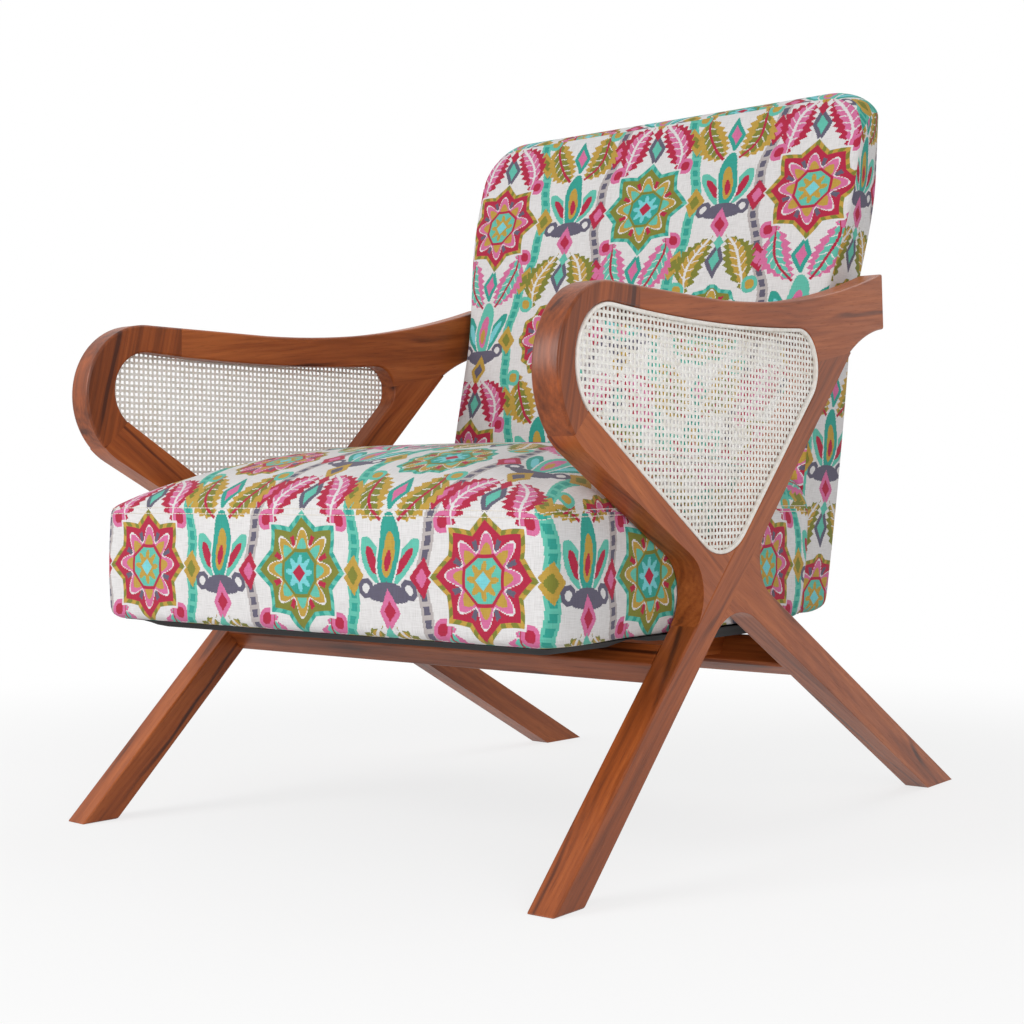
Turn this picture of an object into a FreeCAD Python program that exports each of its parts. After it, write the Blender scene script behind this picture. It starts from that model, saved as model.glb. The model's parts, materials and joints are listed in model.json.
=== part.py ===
import FreeCAD, Part
import Sketcher
import math
import os

# Lounge chair: two toed-in wooden side frames, each a low X with a heart-shaped cane panel,
# joined by rails under a thick upholstered seat and a tall reclined back.
# Each frame is drawn flat: u runs back from the front foot, z up, x outwards through the frame.

doc = FreeCAD.newDocument("LoungeChair")
sizes = doc.addObject("Spreadsheet::Sheet", "Sizes")
layout = doc.addObject("Spreadsheet::Sheet", "Layout")

driving = {
    # Side frame as a whole
    "frame_width": 700,
    "frame_thick": 31,
    "toe_angle": 2.05,
    "stance": 900,
    "arm_height": 571,
    # Legs
    "front_foot": 47,
    "rear_foot": 78,
    "horn_share": 0.6606,
    "arch_round": 75,
    "rear_arch_round": 43,
    "scoop_round": 45,
    # Arm nose and arm rail
    "nose_round": 85,
    "nose_set": 92.4,
    "nose_reach": 48,
    "nose_seam_angle": 45,
    "arm_flat": 158,
    "arm_rise": 67,
    "horn_reach": 85.5,
    "tip_height": 66,
    "tip_lean": 5,
    "horn_drop": 33,
    "horn_sag": 5.3,
    # Heart-shaped rebate for the cane, and the wood left showing beside it
    "nose_face": 27,
    "rail_face": 20,
    "stile_face": 28.5,
    "heart_nose_round": 58,
    "heart_rear_round": 43,
    "heart_rear_drop": 15,
    "heart_base_round": 70,
    "heart_base_rise": 28,
    "heart_top_round": 2800,
    "ledge": 12,
    "rebate_depth": 5,
    "cane_thick": 1.6,
    "cane_room": 0.3,
    "spline_width": 4,
    "spline_height": 4.4,
    # Dowels
    "dowel_size": 8,
    "dowel_length": 40,
    "dowel_spread": 13,
    "dowel_fit": 0.1,
    "dowel_room": 1,
    # Rails and bearers under the seat
    "rail_thick": 28,
    "front_rail_height": 182,
    "rear_rail_height": 168,
    "bearer_thick": 24,
    "bearer_inset": 112,
    "bearer_under": 190,
    "seat_base": 231,
    # Base frame inside the upholstery
    "dust_thick": 1,
    "dust_inset": 6,
    "dust_reach": 10,
    "base_front_share": 0.0667,
    "base_rear_share": 0.6667,
    "base_inset": 61,
    "base_bar": 25,
    "base_tall": 50,
    "cross_inset": 34,
    "block_leg": 40,
    "screw_size": 5,
    "screw_head": 9.5,
    "screw_head_tall": 3,
    "screw_bite": 30,
    "screw_fit": 0.15,
    # Webbing
    "strap_width": 55,
    "strap_thick": 2.5,
    "strap_first": 40,
    "seat_straps": 5,
    "back_strap_first": 30,
    "back_straps": 5,
    # Seat upholstery
    "seat_front_share": 0.0378,
    "seat_rear_share": 0.6556,
    "seat_seam": 356,
    "seat_crown": 76,
    "seat_shoulder": 42,
    "shoulder_share": 0.74,
    "bend_share": 0.3,
    "lift_share": 0.66,
    "seat_gap": 1,
    "seat_bulge": 5,
    "seat_spread": 9,
    "seat_draw": 12,
    "cover_thick": 3,
    "soft_room": 0.5,
    # Back upholstery
    "back_front_share": 0.6033,
    "back_tilt": 13.12,
    "back_seam_height": 861,
    "back_top_round": 9,
    "back_low_depth": 96,
    "back_top_depth": 40,
    "back_rear_sag": 16,
    "back_inset": 24,
    "back_crown": 16,
    "back_draw": 7,
    "back_corner": 52,
    "back_flare": 412,
    # Back frame
    "post_depth": 21,
    "post_angle": 12.5,
    "post_drop": 63,
    "back_bar_tall": 45,
    "back_low_rise": 20,
    # One overrun for all cuts
    "overrun": 20,
}

# Shares of the seat's depth, of its draw-in, of its crown and of its spread before the arms,
# one row for each cross section
seat_station_shares = (
    (0, 1, 0.06, 1), (0.014, 0.4, 0.22, 1), (0.045, 0.1, 0.4, 1), (0.1, 0, 0.6, 1), (0.2, 0, 0.8, 0.25),
    (0.35, 0, 0.95, 0), (0.52, 0, 1, 0), (0.76, 0, 0.97, 0), (1, 0, 0.86, 0),
)
# Shares of the back's half width, draw-in, corner drop, crown and height of its flare over the arms,
# from the middle to one side
back_half_shares = (
    (0, 0, 0, 1, 0), (0.5, 0, 0, 0.97, 0), (0.86, 0.03, 0.08, 0.84, 0), (0.935, 0.22, 0.26, 0.7, 0),
    (0.955, 0.34, 0.38, 0.66, 0.72), (0.985, 0.62, 0.64, 0.56, 0.95), (1, 1, 1, 0.45, 1),
)
back_station_shares = tuple((-row[0],) + row[1:] for row in back_half_shares[:0:-1]) + back_half_shares

# Places worked out from the driving sizes
derived = {
    # Lean of the front leg, from its foot to the horn, and of the rear leg, from its foot to the nose
    "horn_u": "Sizes.stance * Sizes.horn_share",
    "horn_z": "Sizes.arm_height - Sizes.horn_drop",
    "diag_angle": "atan(Layout.horn_z / (Layout.horn_u - Sizes.front_foot)) / (1 deg)",
    "diag_sin": "sin(Layout.diag_angle)",
    "diag_cos": "cos(Layout.diag_angle)",
    "diag_tan": "tan(Layout.diag_angle)",
    "rear_start": "Sizes.stance - Sizes.rear_foot",
    "nose_z": "Sizes.arm_height - Sizes.nose_round",
    "nose_far": "sqrt(Layout.nose_z ^ 2 + (Layout.rear_start - Sizes.nose_set) ^ 2)",
    "rear_angle": "(atan(Layout.nose_z / (Layout.rear_start - Sizes.nose_set))"
                  " - asin(Sizes.nose_round / Layout.nose_far)) / (1 deg)",
    "rear_sin": "sin(Layout.rear_angle)",
    "rear_cos": "cos(Layout.rear_angle)",
    "rear_tan": "tan(Layout.rear_angle)",
    "toe_tan": "tan(Sizes.toe_angle)",
    "diag_width": "Sizes.front_foot * Layout.diag_sin",
    "rear_width": "Sizes.rear_foot * Layout.rear_sin",
    # Placement of the right frame: inner face at local x = 0
    "inner_half": "Sizes.frame_width / 2 - Sizes.frame_thick * cos(Sizes.toe_angle)",
    "depth": "Sizes.stance * cos(Sizes.toe_angle) + Sizes.frame_thick * sin(Sizes.toe_angle)",
    "front_y": "-Layout.depth / 2",
    # Seams of the round nose, which touches the arm's top and the lower line of the X
    "seam_u": "Sizes.nose_set + Sizes.nose_reach",
    "nose_middle": "Sizes.nose_round - (Sizes.nose_face + Sizes.ledge) / 2",
    "nose_cut_u": "Sizes.nose_set - Sizes.nose_round * cos(Sizes.nose_seam_angle)",
    "nose_cut_z": "Layout.nose_z - Sizes.nose_round * sin(Sizes.nose_seam_angle)",
    # Corners where the lines of the X cross: below, behind and in front
    "low_u": "(Layout.rear_start * Layout.rear_tan + Sizes.front_foot * Layout.diag_tan)"
             " / (Layout.diag_tan + Layout.rear_tan)",
    "low_z": "(Layout.rear_start - Layout.low_u) * Layout.rear_tan",
    "back_u": "(Sizes.stance * Layout.rear_tan + Sizes.front_foot * Layout.diag_tan)"
              " / (Layout.diag_tan + Layout.rear_tan)",
    "back_z": "(Sizes.stance - Layout.back_u) * Layout.rear_tan",
    "fore_u": "Layout.rear_start * Layout.rear_tan / (Layout.diag_tan + Layout.rear_tan)",
    "fore_z": "Layout.fore_u * Layout.diag_tan",
    # Half angles and tangent lengths of the rounded corners of the X
    "wide_half": "90 - (Layout.diag_angle + Layout.rear_angle) / 2",
    "tight_half": "(Layout.diag_angle + Layout.rear_angle) / 2",
    "skew": "(Layout.diag_angle - Layout.rear_angle) / 2",
    "arch_run": "Sizes.arch_round / tan(Layout.wide_half)",
    "arch_lift": "Sizes.arch_round / sin(Layout.wide_half) - Sizes.arch_round",
    "rear_arch_run": "Sizes.rear_arch_round / tan(Layout.tight_half)",
    "rear_arch_lift": "Sizes.rear_arch_round / sin(Layout.tight_half) - Sizes.rear_arch_round",
    "scoop_run": "Sizes.scoop_round / tan(Layout.tight_half)",
    "scoop_lift": "Sizes.scoop_round / sin(Layout.tight_half) - Sizes.scoop_round",
    # Centres of the heart's three rounds
    "heart_nose_u": "Sizes.nose_set - Sizes.nose_round + Sizes.nose_face + Sizes.heart_nose_round",
    "heart_nose_z": "Sizes.arm_height - Sizes.rail_face - Sizes.heart_nose_round",
    "heart_base_z": "Layout.fore_z + Sizes.heart_base_rise + Sizes.heart_base_round",
    "heart_base_u": "Sizes.front_foot + (Layout.heart_base_z"
                    " - (Sizes.stile_face + Sizes.heart_base_round) / Layout.diag_cos) / Layout.diag_tan",
    "heart_rear_z": "Sizes.arm_height - Sizes.heart_rear_drop - Sizes.heart_rear_round",
    "heart_rear_u": "Sizes.front_foot + (Layout.heart_rear_z"
                    " - (Sizes.stile_face + Sizes.heart_rear_round) / Layout.diag_cos) / Layout.diag_tan",
    # Where the seam of the front stile leaves the leg, square below the heart's base
    "base_gap": "(Layout.heart_base_z - Layout.heart_base_u * Layout.diag_tan) * Layout.diag_cos",
    "step_u": "Layout.heart_base_u + Layout.base_gap * Layout.diag_sin",
    "step_z": "Layout.heart_base_z - Layout.base_gap * Layout.diag_cos",
    # Arm rail: rising top, rear tip and horn
    "tip_u": "Layout.horn_u + Sizes.horn_reach",
    "rise_u": "Sizes.nose_set + Sizes.arm_flat",
    "rise_run": "Layout.tip_u - Layout.rise_u",
    "rise_round": "(Layout.rise_run ^ 2 + Sizes.arm_rise ^ 2) / (2 * Sizes.arm_rise)",
    "rise_turn": "asin(Layout.rise_run / Layout.rise_round) / 2",
    "tip_z": "Sizes.arm_height + Sizes.arm_rise",
    "tip_low_u": "Layout.tip_u + Sizes.tip_lean",
    "tip_low_z": "Layout.tip_z - Sizes.tip_height",
    "horn_chord": "sqrt((Layout.tip_low_u - Layout.horn_u) ^ 2 + (Layout.tip_low_z - Layout.horn_z) ^ 2)",
    # Cross rails: square sections set across the legs
    "front_rail_u": "Sizes.front_foot + Sizes.front_rail_height / Layout.diag_tan",
    "rear_rail_u": "Layout.rear_start - Sizes.rear_rail_height / Layout.rear_tan",
    "front_rail_back_u": "Layout.front_rail_u + Sizes.rail_thick * Layout.diag_cos",
    "front_rail_back_z": "Sizes.front_rail_height + Sizes.rail_thick * Layout.diag_sin",
    "rear_rail_face_u": "Layout.rear_rail_u - Sizes.rail_thick * Layout.rear_cos",
    "rear_rail_face_z": "Sizes.rear_rail_height + Sizes.rail_thick * Layout.rear_sin",
    # Places along the depth, half widths and levels of the base frame and the upholstery
    "base_front": "Sizes.stance * Sizes.base_front_share",
    "base_rear": "Sizes.stance * Sizes.base_rear_share",
    "seat_front": "Sizes.stance * Sizes.seat_front_share",
    "seat_rear": "Sizes.stance * Sizes.seat_rear_share",
    "back_front": "Sizes.stance * Sizes.back_front_share",
    "base_half": "Layout.inner_half - Sizes.base_inset",
    "bearer_offset": "Layout.inner_half - Sizes.bearer_inset",
    "back_half": "Layout.inner_half - Sizes.back_inset",
    "cross_front_u": "Layout.front_rail_back_u + Sizes.cross_inset",
    "cross_rear_u": "Layout.rear_rail_face_u - Sizes.cross_inset",
    "base_low": "Sizes.seat_base + Sizes.dust_thick",
    "base_top": "Layout.base_low + Sizes.base_tall",
    "base_inside": "Layout.base_half - Sizes.base_bar",
    "soft_top": "Layout.base_top + Sizes.strap_thick + Sizes.soft_room",
    "foam_inset": "Sizes.cover_thick + Sizes.soft_room",
    "seat_run": "Layout.seat_rear - Layout.seat_front",
    "back_run": "(Sizes.back_seam_height - Sizes.seat_base) * tan(Sizes.back_tilt)",
    # Back frame
    "post_u": "Layout.base_rear - Sizes.post_depth",
    "post_top": "Sizes.back_seam_height - Sizes.post_drop",
    "post_run": "(Layout.post_top - Layout.base_top) * tan(Sizes.post_angle)",
    "seat_strap_pitch": "(Layout.post_u - Layout.base_front - 2 * Sizes.strap_first"
                        " - Sizes.strap_width) / (Sizes.seat_straps - 1)",
    "back_strap_pitch": "(Layout.post_length - 2 * Sizes.back_strap_first"
                        " - Sizes.strap_width) / (Sizes.back_straps - 1)",
    "post_length": "(Layout.post_top - Layout.base_top) / cos(Sizes.post_angle)",
    "back_bar_deep": "Sizes.post_depth * cos(Sizes.post_angle)",
}


def fill(sheet, values, formula):
    for row, (alias, value) in enumerate(values.items(), start=1):
        sheet.set("A%d" % row, alias)
        sheet.set("B%d" % row, "=" + value if formula else str(value))
        sheet.setAlias("B%d" % row, alias)
    doc.recompute()


fill(sizes, driving, False)
fill(layout, derived, True)
parts = []


def number(text):
    value = layout.evalExpression(text)
    return float(getattr(value, "Value", value))


def keep(item, label):
    item.Label = label
    parts.append(item)
    return item


# Bodies, planes and sketches

def origin_item(body, role):
    return next(item for item in body.Origin.OriginFeatures if item.Role == role)


def frame_body(label):
    body = keep(doc.addObject("PartDesign::Body", label), label)
    turn = FreeCAD.Rotation(FreeCAD.Vector(0, 0, 1), number("Sizes.toe_angle"))
    body.Placement = FreeCAD.Placement(FreeCAD.Vector(), turn)
    body.setExpression("Placement.Base.x", "Layout.inner_half")
    body.setExpression("Placement.Base.y", "Layout.front_y")
    body.setExpression("Placement.Rotation.Angle", "Sizes.toe_angle")
    return body


def middle_body(label):
    body = keep(doc.addObject("PartDesign::Body", label), label)
    body.setExpression("Placement.Base.y", "Layout.front_y")
    return body


def mirrored(source, label):
    copy = keep(doc.addObject("Part::Mirroring", label), label)
    copy.Source = source
    copy.Base = FreeCAD.Vector(0, 0, 0)
    copy.Normal = FreeCAD.Vector(1, 0, 0)
    return copy


def new_sketch(body, name, role, offset="0"):
    sketch = body.newObject("Sketcher::SketchObject", name)
    sketch.AttachmentSupport = [(origin_item(body, role), "")]
    sketch.MapMode = "FlatFace"
    sketch.setExpression("AttachmentOffset.Base.z", offset)
    return sketch


def bind_point(sketch, edge, end, place):
    for kind, text in zip(("DistanceX", "DistanceY"), place):
        index = sketch.addConstraint(Sketcher.Constraint(kind, -1, 1, edge, end, number(text)))
        sketch.setExpression("Constraints[%d]" % index, text)


def arc_through(first, middle, last):
    circle = Part.Arc(first, middle, last).toShape().Curve
    angles = [math.atan2(point.y - circle.Center.y, point.x - circle.Center.x) for point in (first, last)]
    if angles[1] < angles[0]:
        angles[1] += 2 * math.pi
    return Part.ArcOfCircle(Part.Circle(circle.Center, FreeCAD.Vector(0, 0, 1), circle.Radius), *angles)


def outline(sketch, corners):
    # A corner is (across, up); with two more places its edge to the next corner is an arc through them
    points = [FreeCAD.Vector(number(corner[0]), number(corner[1]), 0) for corner in corners]
    edges = []
    for index, corner in enumerate(corners):
        start = points[index]
        stop = points[(index + 1) % len(points)]
        if len(corner) == 2:
            edges.append((sketch.addGeometry(Part.LineSegment(start, stop), False), 1, 2))
            continue
        middle = FreeCAD.Vector(number(corner[2]), number(corner[3]), 0)
        left_turn = (middle - start).cross(stop - middle).z > 0
        arc = arc_through(start, middle, stop) if left_turn else arc_through(stop, middle, start)
        edge = sketch.addGeometry(arc, False)
        mark = sketch.addGeometry(Part.Point(middle), True)
        sketch.addConstraint(Sketcher.Constraint("PointOnObject", mark, 1, edge))
        bind_point(sketch, mark, 1, corner[2:])
        edges.append((edge, 1, 2) if left_turn else (edge, 2, 1))
    for index, corner in enumerate(corners):
        edge, first, last = edges[index]
        after, after_first, after_last = edges[(index + 1) % len(edges)]
        sketch.addConstraint(Sketcher.Constraint("Coincident", edge, last, after, after_first))
        bind_point(sketch, edge, first, corner[:2])


def circles(sketch, centres, radius):
    for centre in centres:
        at = FreeCAD.Vector(number(centre[0]), number(centre[1]), 0)
        edge = sketch.addGeometry(Part.Circle(at, FreeCAD.Vector(0, 0, 1), number(radius)), False)
        bind_point(sketch, edge, 3, centre)
        index = sketch.addConstraint(Sketcher.Constraint("Radius", edge, number(radius)))
        sketch.setExpression("Constraints[%d]" % index, radius)


def pad(body, name, sketch, length, reverse=False, both=False):
    feature = body.newObject("PartDesign::Pad", name)
    feature.Profile = sketch
    feature.setExpression("Length", length)
    feature.Reversed = reverse
    feature.SideType = "Symmetric" if both else "One side"
    doc.recompute()
    return feature


def pocket(body, name, sketch, length, reverse=False, both=False):
    before = body.Shape.Volume
    feature = body.newObject("PartDesign::Pocket", name)
    feature.Profile = sketch
    feature.setExpression("Length", length)
    feature.Reversed = reverse
    feature.SideType = "Symmetric" if both else "One side"
    doc.recompute()
    if body.Shape.Volume >= before:
        raise RuntimeError(body.Label + ": " + name + " cuts nothing")
    return feature


# The heart: three rounds, two straight sides and a slightly sagging top, set in by one offset

def heart(sketch, inset):
    rounds = {}
    for name in ("nose", "base", "rear"):
        centre = ("Layout.heart_%s_u" % name, "Layout.heart_%s_z" % name)
        radius = "Sizes.heart_%s_round - (%s)" % (name, inset)
        at = FreeCAD.Vector(number(centre[0]), number(centre[1]), 0)
        rounds[name] = (at, number(radius), centre, radius)
    top_radius = "Sizes.heart_top_round + (%s)" % inset
    reach = number(top_radius)

    def side_angle(first, second):
        # Outward angle of the straight side that touches two rounds, both on its left
        gap = rounds[second][0] - rounds[first][0]
        lean = math.asin((rounds[first][1] - rounds[second][1]) / gap.Length)
        return math.atan2(gap.y, gap.x) - math.pi / 2 + lean

    def on_round(name, angle):
        at, radius = rounds[name][:2]
        return at + FreeCAD.Vector(math.cos(angle), math.sin(angle), 0) * radius

    low = side_angle("nose", "base")
    right = side_angle("base", "rear")
    # Centre of the top's large round, above both upper rounds
    nose_at, nose_radius = rounds["nose"][:2]
    rear_at, rear_radius = rounds["rear"][:2]
    span = rear_at - nose_at
    nose_reach = reach + nose_radius
    rear_reach = reach + rear_radius
    along = (span.Length ** 2 + nose_reach ** 2 - rear_reach ** 2) / (2 * span.Length)
    height = math.sqrt(nose_reach ** 2 - along ** 2)
    unit = span * (1 / span.Length)
    top_at = nose_at + unit * along + FreeCAD.Vector(-unit.y, unit.x, 0) * height
    nose_up = math.atan2(top_at.y - nose_at.y, top_at.x - nose_at.x)
    rear_up = math.atan2(top_at.y - rear_at.y, top_at.x - rear_at.x)
    up = FreeCAD.Vector(0, 0, 1)
    turns = {"nose": (nose_up, low + 2 * math.pi), "base": (low, right), "rear": (right, rear_up)}
    edge = {}
    for name in ("nose", "base", "rear"):
        at, radius = rounds[name][:2]
        arc = Part.ArcOfCircle(Part.Circle(at, up, radius), *turns[name])
        edge[name] = sketch.addGeometry(arc, False)
    side = Part.LineSegment(on_round("nose", low), on_round("base", low))
    edge["low"] = sketch.addGeometry(side, False)
    side = Part.LineSegment(on_round("base", right), on_round("rear", right))
    edge["right"] = sketch.addGeometry(side, False)
    top = Part.ArcOfCircle(Part.Circle(top_at, up, reach), nose_up + math.pi, rear_up + math.pi)
    edge["top"] = sketch.addGeometry(top, False)
    joints = (("nose", 2, "low", 1), ("low", 2, "base", 1), ("base", 2, "right", 1),
              ("right", 2, "rear", 1), ("rear", 2, "top", 2), ("top", 1, "nose", 1))
    for first, first_end, second, second_end in joints:
        sketch.addConstraint(Sketcher.Constraint("Tangent", edge[first], first_end, edge[second], second_end))
    for name in ("nose", "base", "rear"):
        at, radius, centre, radius_text = rounds[name]
        bind_point(sketch, edge[name], 3, centre)
        index = sketch.addConstraint(Sketcher.Constraint("Radius", edge[name], radius))
        sketch.setExpression("Constraints[%d]" % index, radius_text)
    index = sketch.addConstraint(Sketcher.Constraint("Radius", edge["top"], reach))
    sketch.setExpression("Constraints[%d]" % index, top_radius)


def cut_heart(body):
    # The through opening, then the shallow rebate for the cane on the outer face
    opening = new_sketch(body, "Opening", "YZ_Plane")
    heart(opening, "Sizes.ledge")
    pocket(body, "OpeningCut", opening, "Sizes.frame_thick", reverse=True)
    rebate = new_sketch(body, "Rebate", "YZ_Plane", "Sizes.frame_thick")
    heart(rebate, "0")
    pocket(body, "RebateCut", rebate, "Sizes.rebate_depth")


# Dowels: each joint has a middle on the seam and a direction across it, in the plane of the frame

frame_joints = {
    "nose_rail": ("Layout.seam_u", "Sizes.arm_height - (Sizes.rail_face + Sizes.ledge) / 2", "0"),
    "nose_stile": ("Sizes.nose_set - Layout.nose_middle * cos(Sizes.nose_seam_angle)",
                   "Layout.nose_z - Layout.nose_middle * sin(Sizes.nose_seam_angle)",
                   "-Sizes.nose_seam_angle"),
    "stile_leg": ("Layout.fore_u + Sizes.dowel_size * Layout.diag_cos",
                  "Layout.fore_z + Sizes.dowel_size * Layout.diag_sin", "Layout.diag_angle - 90"),
    "leg_rail": ("Layout.horn_u - (Layout.horn_u - Layout.heart_rear_u) / 3",
                 "Layout.horn_z - (Layout.horn_z - Layout.heart_rear_z) / 3", "Layout.diag_angle"),
    "leg_leg": ("(Layout.low_u + Layout.back_u) / 2", "(Layout.low_z + Layout.back_z) / 2",
                "Layout.diag_angle - 90"),
}
rail_middles = {
    "front_rail": ("Layout.front_rail_u + (Sizes.rail_thick * Layout.diag_cos - Layout.diag_width"
                   " * Layout.diag_sin) / 2",
                   "Sizes.front_rail_height + (Sizes.rail_thick * Layout.diag_sin + Layout.diag_width"
                   " * Layout.diag_cos) / 2", "Layout.diag_cos", "Layout.diag_sin"),
    "rear_rail": ("Layout.rear_rail_u + (Layout.rear_width * Layout.rear_sin - Sizes.rail_thick"
                  " * Layout.rear_cos) / 2",
                  "Sizes.rear_rail_height + (Layout.rear_width * Layout.rear_cos + Sizes.rail_thick"
                  " * Layout.rear_sin) / 2", "Layout.rear_sin", "Layout.rear_cos"),
}


def peg(body, name, place, turn, hole):
    # A dowel, or its hole, that starts at place and is turned away from the x direction
    feature = body.newObject("PartDesign::%sCylinder" % ("Subtractive" if hole else "Additive"), name)
    feature.AttachmentSupport = [(origin_item(body, "YZ_Plane"), "")]
    feature.MapMode = "FlatFace"
    start = FreeCAD.Rotation(FreeCAD.Vector(0, 1, 0), 90)
    feature.AttachmentOffset = FreeCAD.Placement(FreeCAD.Vector(), start)
    for axis, text in zip("xyz", place):
        feature.setExpression("AttachmentOffset.Base." + axis, text)
    for term, text in turn.items():
        feature.setExpression("AttachmentOffset.Rotation." + term, text)
    feature.setExpression("Radius", "Sizes.dowel_size / 2" + (" + Sizes.dowel_fit" if hole else ""))
    feature.setExpression("Height", "Sizes.dowel_length" + (" + 2 * Sizes.dowel_room" if hole else ""))
    return feature


def joint_pegs(body, joints, hole):
    back = "(Sizes.dowel_length / 2" + (" + Sizes.dowel_room)" if hole else ")")
    for name in joints:
        across, height, angle = frame_joints[name]
        turn = {"Axis.x": "-sin(%s)" % angle, "Axis.y": "cos(%s)" % angle}
        for side in ("-", "+"):
            place = ("%s - %s * cos(%s)" % (across, back, angle), "%s - %s * sin(%s)" % (height, back, angle),
                     "(Sizes.frame_thick - Sizes.rebate_depth) / 2 %s Sizes.dowel_spread / 2" % side)
            peg(body, "Peg_" + name, place, turn, hole)
    doc.recompute()


def rail_pegs(body, rails, hole):
    # Two dowels through the inner face into each end of a cross rail
    back = "-Sizes.dowel_length / 2" + (" - Sizes.dowel_room" if hole else "")
    for name in rails:
        across, height, along_u, along_z = rail_middles[name]
        for side in ("-", "+"):
            place = ("%s %s Sizes.dowel_spread / 2 * %s" % (across, side, along_u),
                     "%s %s Sizes.dowel_spread / 2 * %s" % (height, side, along_z), back)
            peg(body, "Peg_" + name, place, {"Angle": "0"}, hole)
    doc.recompute()


# Pieces of the right frame

def front_leg():
    body = frame_body("right_front_leg")
    sketch = new_sketch(body, "Outline", "YZ_Plane")
    outline(sketch, [
        ("0", "0"), ("Sizes.front_foot", "0"), ("Layout.horn_u", "Layout.horn_z"),
        ("Layout.heart_rear_u", "Layout.heart_rear_z"), ("Layout.heart_base_u", "Layout.heart_base_z"),
        ("Layout.step_u", "Layout.step_z"),
    ])
    pad(body, "Bar", sketch, "Sizes.frame_thick")
    cut_heart(body)
    joint_pegs(body, ("stile_leg", "leg_rail", "leg_leg"), True)
    rail_pegs(body, ("front_rail",), True)
    return body


def rear_leg():
    body = frame_body("right_rear_leg")
    sketch = new_sketch(body, "Outline", "YZ_Plane")
    outline(sketch, [
        ("Layout.rear_start", "0"), ("Sizes.stance", "0"),
        ("Layout.back_u + Layout.rear_arch_run * Layout.rear_cos",
         "Layout.back_z - Layout.rear_arch_run * Layout.rear_sin",
         "Layout.back_u + Layout.rear_arch_lift * cos(Layout.skew)",
         "Layout.back_z + Layout.rear_arch_lift * sin(Layout.skew)"),
        ("Layout.back_u + Layout.rear_arch_run * Layout.diag_cos",
         "Layout.back_z + Layout.rear_arch_run * Layout.diag_sin"),
        ("Layout.low_u - Layout.arch_run * Layout.diag_cos",
         "Layout.low_z - Layout.arch_run * Layout.diag_sin",
         "Layout.low_u + Layout.arch_lift * sin(Layout.skew)",
         "Layout.low_z - Layout.arch_lift * cos(Layout.skew)"),
        ("Layout.low_u + Layout.arch_run * Layout.rear_cos",
         "Layout.low_z - Layout.arch_run * Layout.rear_sin"),
    ])
    pad(body, "Bar", sketch, "Sizes.frame_thick")
    joint_pegs(body, ("leg_leg",), True)
    rail_pegs(body, ("rear_rail",), True)
    return body


def front_stile():
    body = frame_body("right_front_stile")
    sketch = new_sketch(body, "Outline", "YZ_Plane")
    swing = "(225 + (Sizes.nose_seam_angle - Layout.rear_angle) / 2)"
    outline(sketch, [
        ("Layout.nose_cut_u", "Layout.nose_cut_z",
         "Sizes.nose_set + Sizes.nose_round * cos" + swing, "Layout.nose_z + Sizes.nose_round * sin" + swing),
        ("Sizes.nose_set - Sizes.nose_round * Layout.rear_sin",
         "Layout.nose_z - Sizes.nose_round * Layout.rear_cos"),
        ("Layout.fore_u - Layout.scoop_run * Layout.rear_cos",
         "Layout.fore_z + Layout.scoop_run * Layout.rear_sin",
         "Layout.fore_u - Layout.scoop_lift * cos(Layout.skew)",
         "Layout.fore_z - Layout.scoop_lift * sin(Layout.skew)"),
        ("Layout.fore_u - Layout.scoop_run * Layout.diag_cos",
         "Layout.fore_z - Layout.scoop_run * Layout.diag_sin"),
        ("Layout.step_u", "Layout.step_z"), ("Layout.heart_base_u", "Layout.heart_base_z"),
        ("Sizes.nose_set", "Layout.nose_z"),
    ])
    pad(body, "Bar", sketch, "Sizes.frame_thick")
    cut_heart(body)
    joint_pegs(body, ("nose_stile", "stile_leg"), True)
    return body


def arm_nose():
    body = frame_body("right_arm_nose")
    sketch = new_sketch(body, "Outline", "YZ_Plane")
    swing = "(135 + Sizes.nose_seam_angle / 2)"
    outline(sketch, [
        ("Layout.seam_u", "Sizes.arm_height"),
        ("Sizes.nose_set", "Sizes.arm_height",
         "Sizes.nose_set + Sizes.nose_round * cos" + swing, "Layout.nose_z + Sizes.nose_round * sin" + swing),
        ("Layout.nose_cut_u", "Layout.nose_cut_z"), ("Sizes.nose_set", "Layout.nose_z"),
        ("Layout.seam_u", "Layout.nose_z"),
    ])
    pad(body, "Bar", sketch, "Sizes.frame_thick")
    cut_heart(body)
    joint_pegs(body, ("nose_rail", "nose_stile"), True)
    return body


def arm_rail():
    body = frame_body("right_arm_rail")
    sketch = new_sketch(body, "Outline", "YZ_Plane")
    outline(sketch, [
        ("Layout.seam_u", "Layout.nose_z"), ("Layout.heart_rear_u", "Layout.heart_rear_z"),
        ("Layout.horn_u", "Layout.horn_z",
         "(Layout.horn_u + Layout.tip_low_u) / 2"
         " - Sizes.horn_sag * (Layout.tip_low_z - Layout.horn_z) / Layout.horn_chord",
         "(Layout.horn_z + Layout.tip_low_z) / 2"
         " + Sizes.horn_sag * (Layout.tip_low_u - Layout.horn_u) / Layout.horn_chord"),
        ("Layout.tip_low_u", "Layout.tip_low_z"),
        ("Layout.tip_u", "Layout.tip_z",
         "Layout.rise_u + Layout.rise_round * sin(Layout.rise_turn)",
         "Sizes.arm_height + Layout.rise_round * (1 - cos(Layout.rise_turn))"),
        ("Layout.rise_u", "Sizes.arm_height"), ("Layout.seam_u", "Sizes.arm_height"),
    ])
    pad(body, "Bar", sketch, "Sizes.frame_thick")
    cut_heart(body)
    joint_pegs(body, ("nose_rail", "leg_rail"), True)
    return body


def cane_panel():
    body = frame_body("right_cane_panel")
    sketch = new_sketch(body, "Outline", "YZ_Plane", "Sizes.frame_thick - Sizes.rebate_depth")
    heart(sketch, "Sizes.cane_room")
    pad(body, "Sheet", sketch, "Sizes.cane_thick")
    return body


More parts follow.
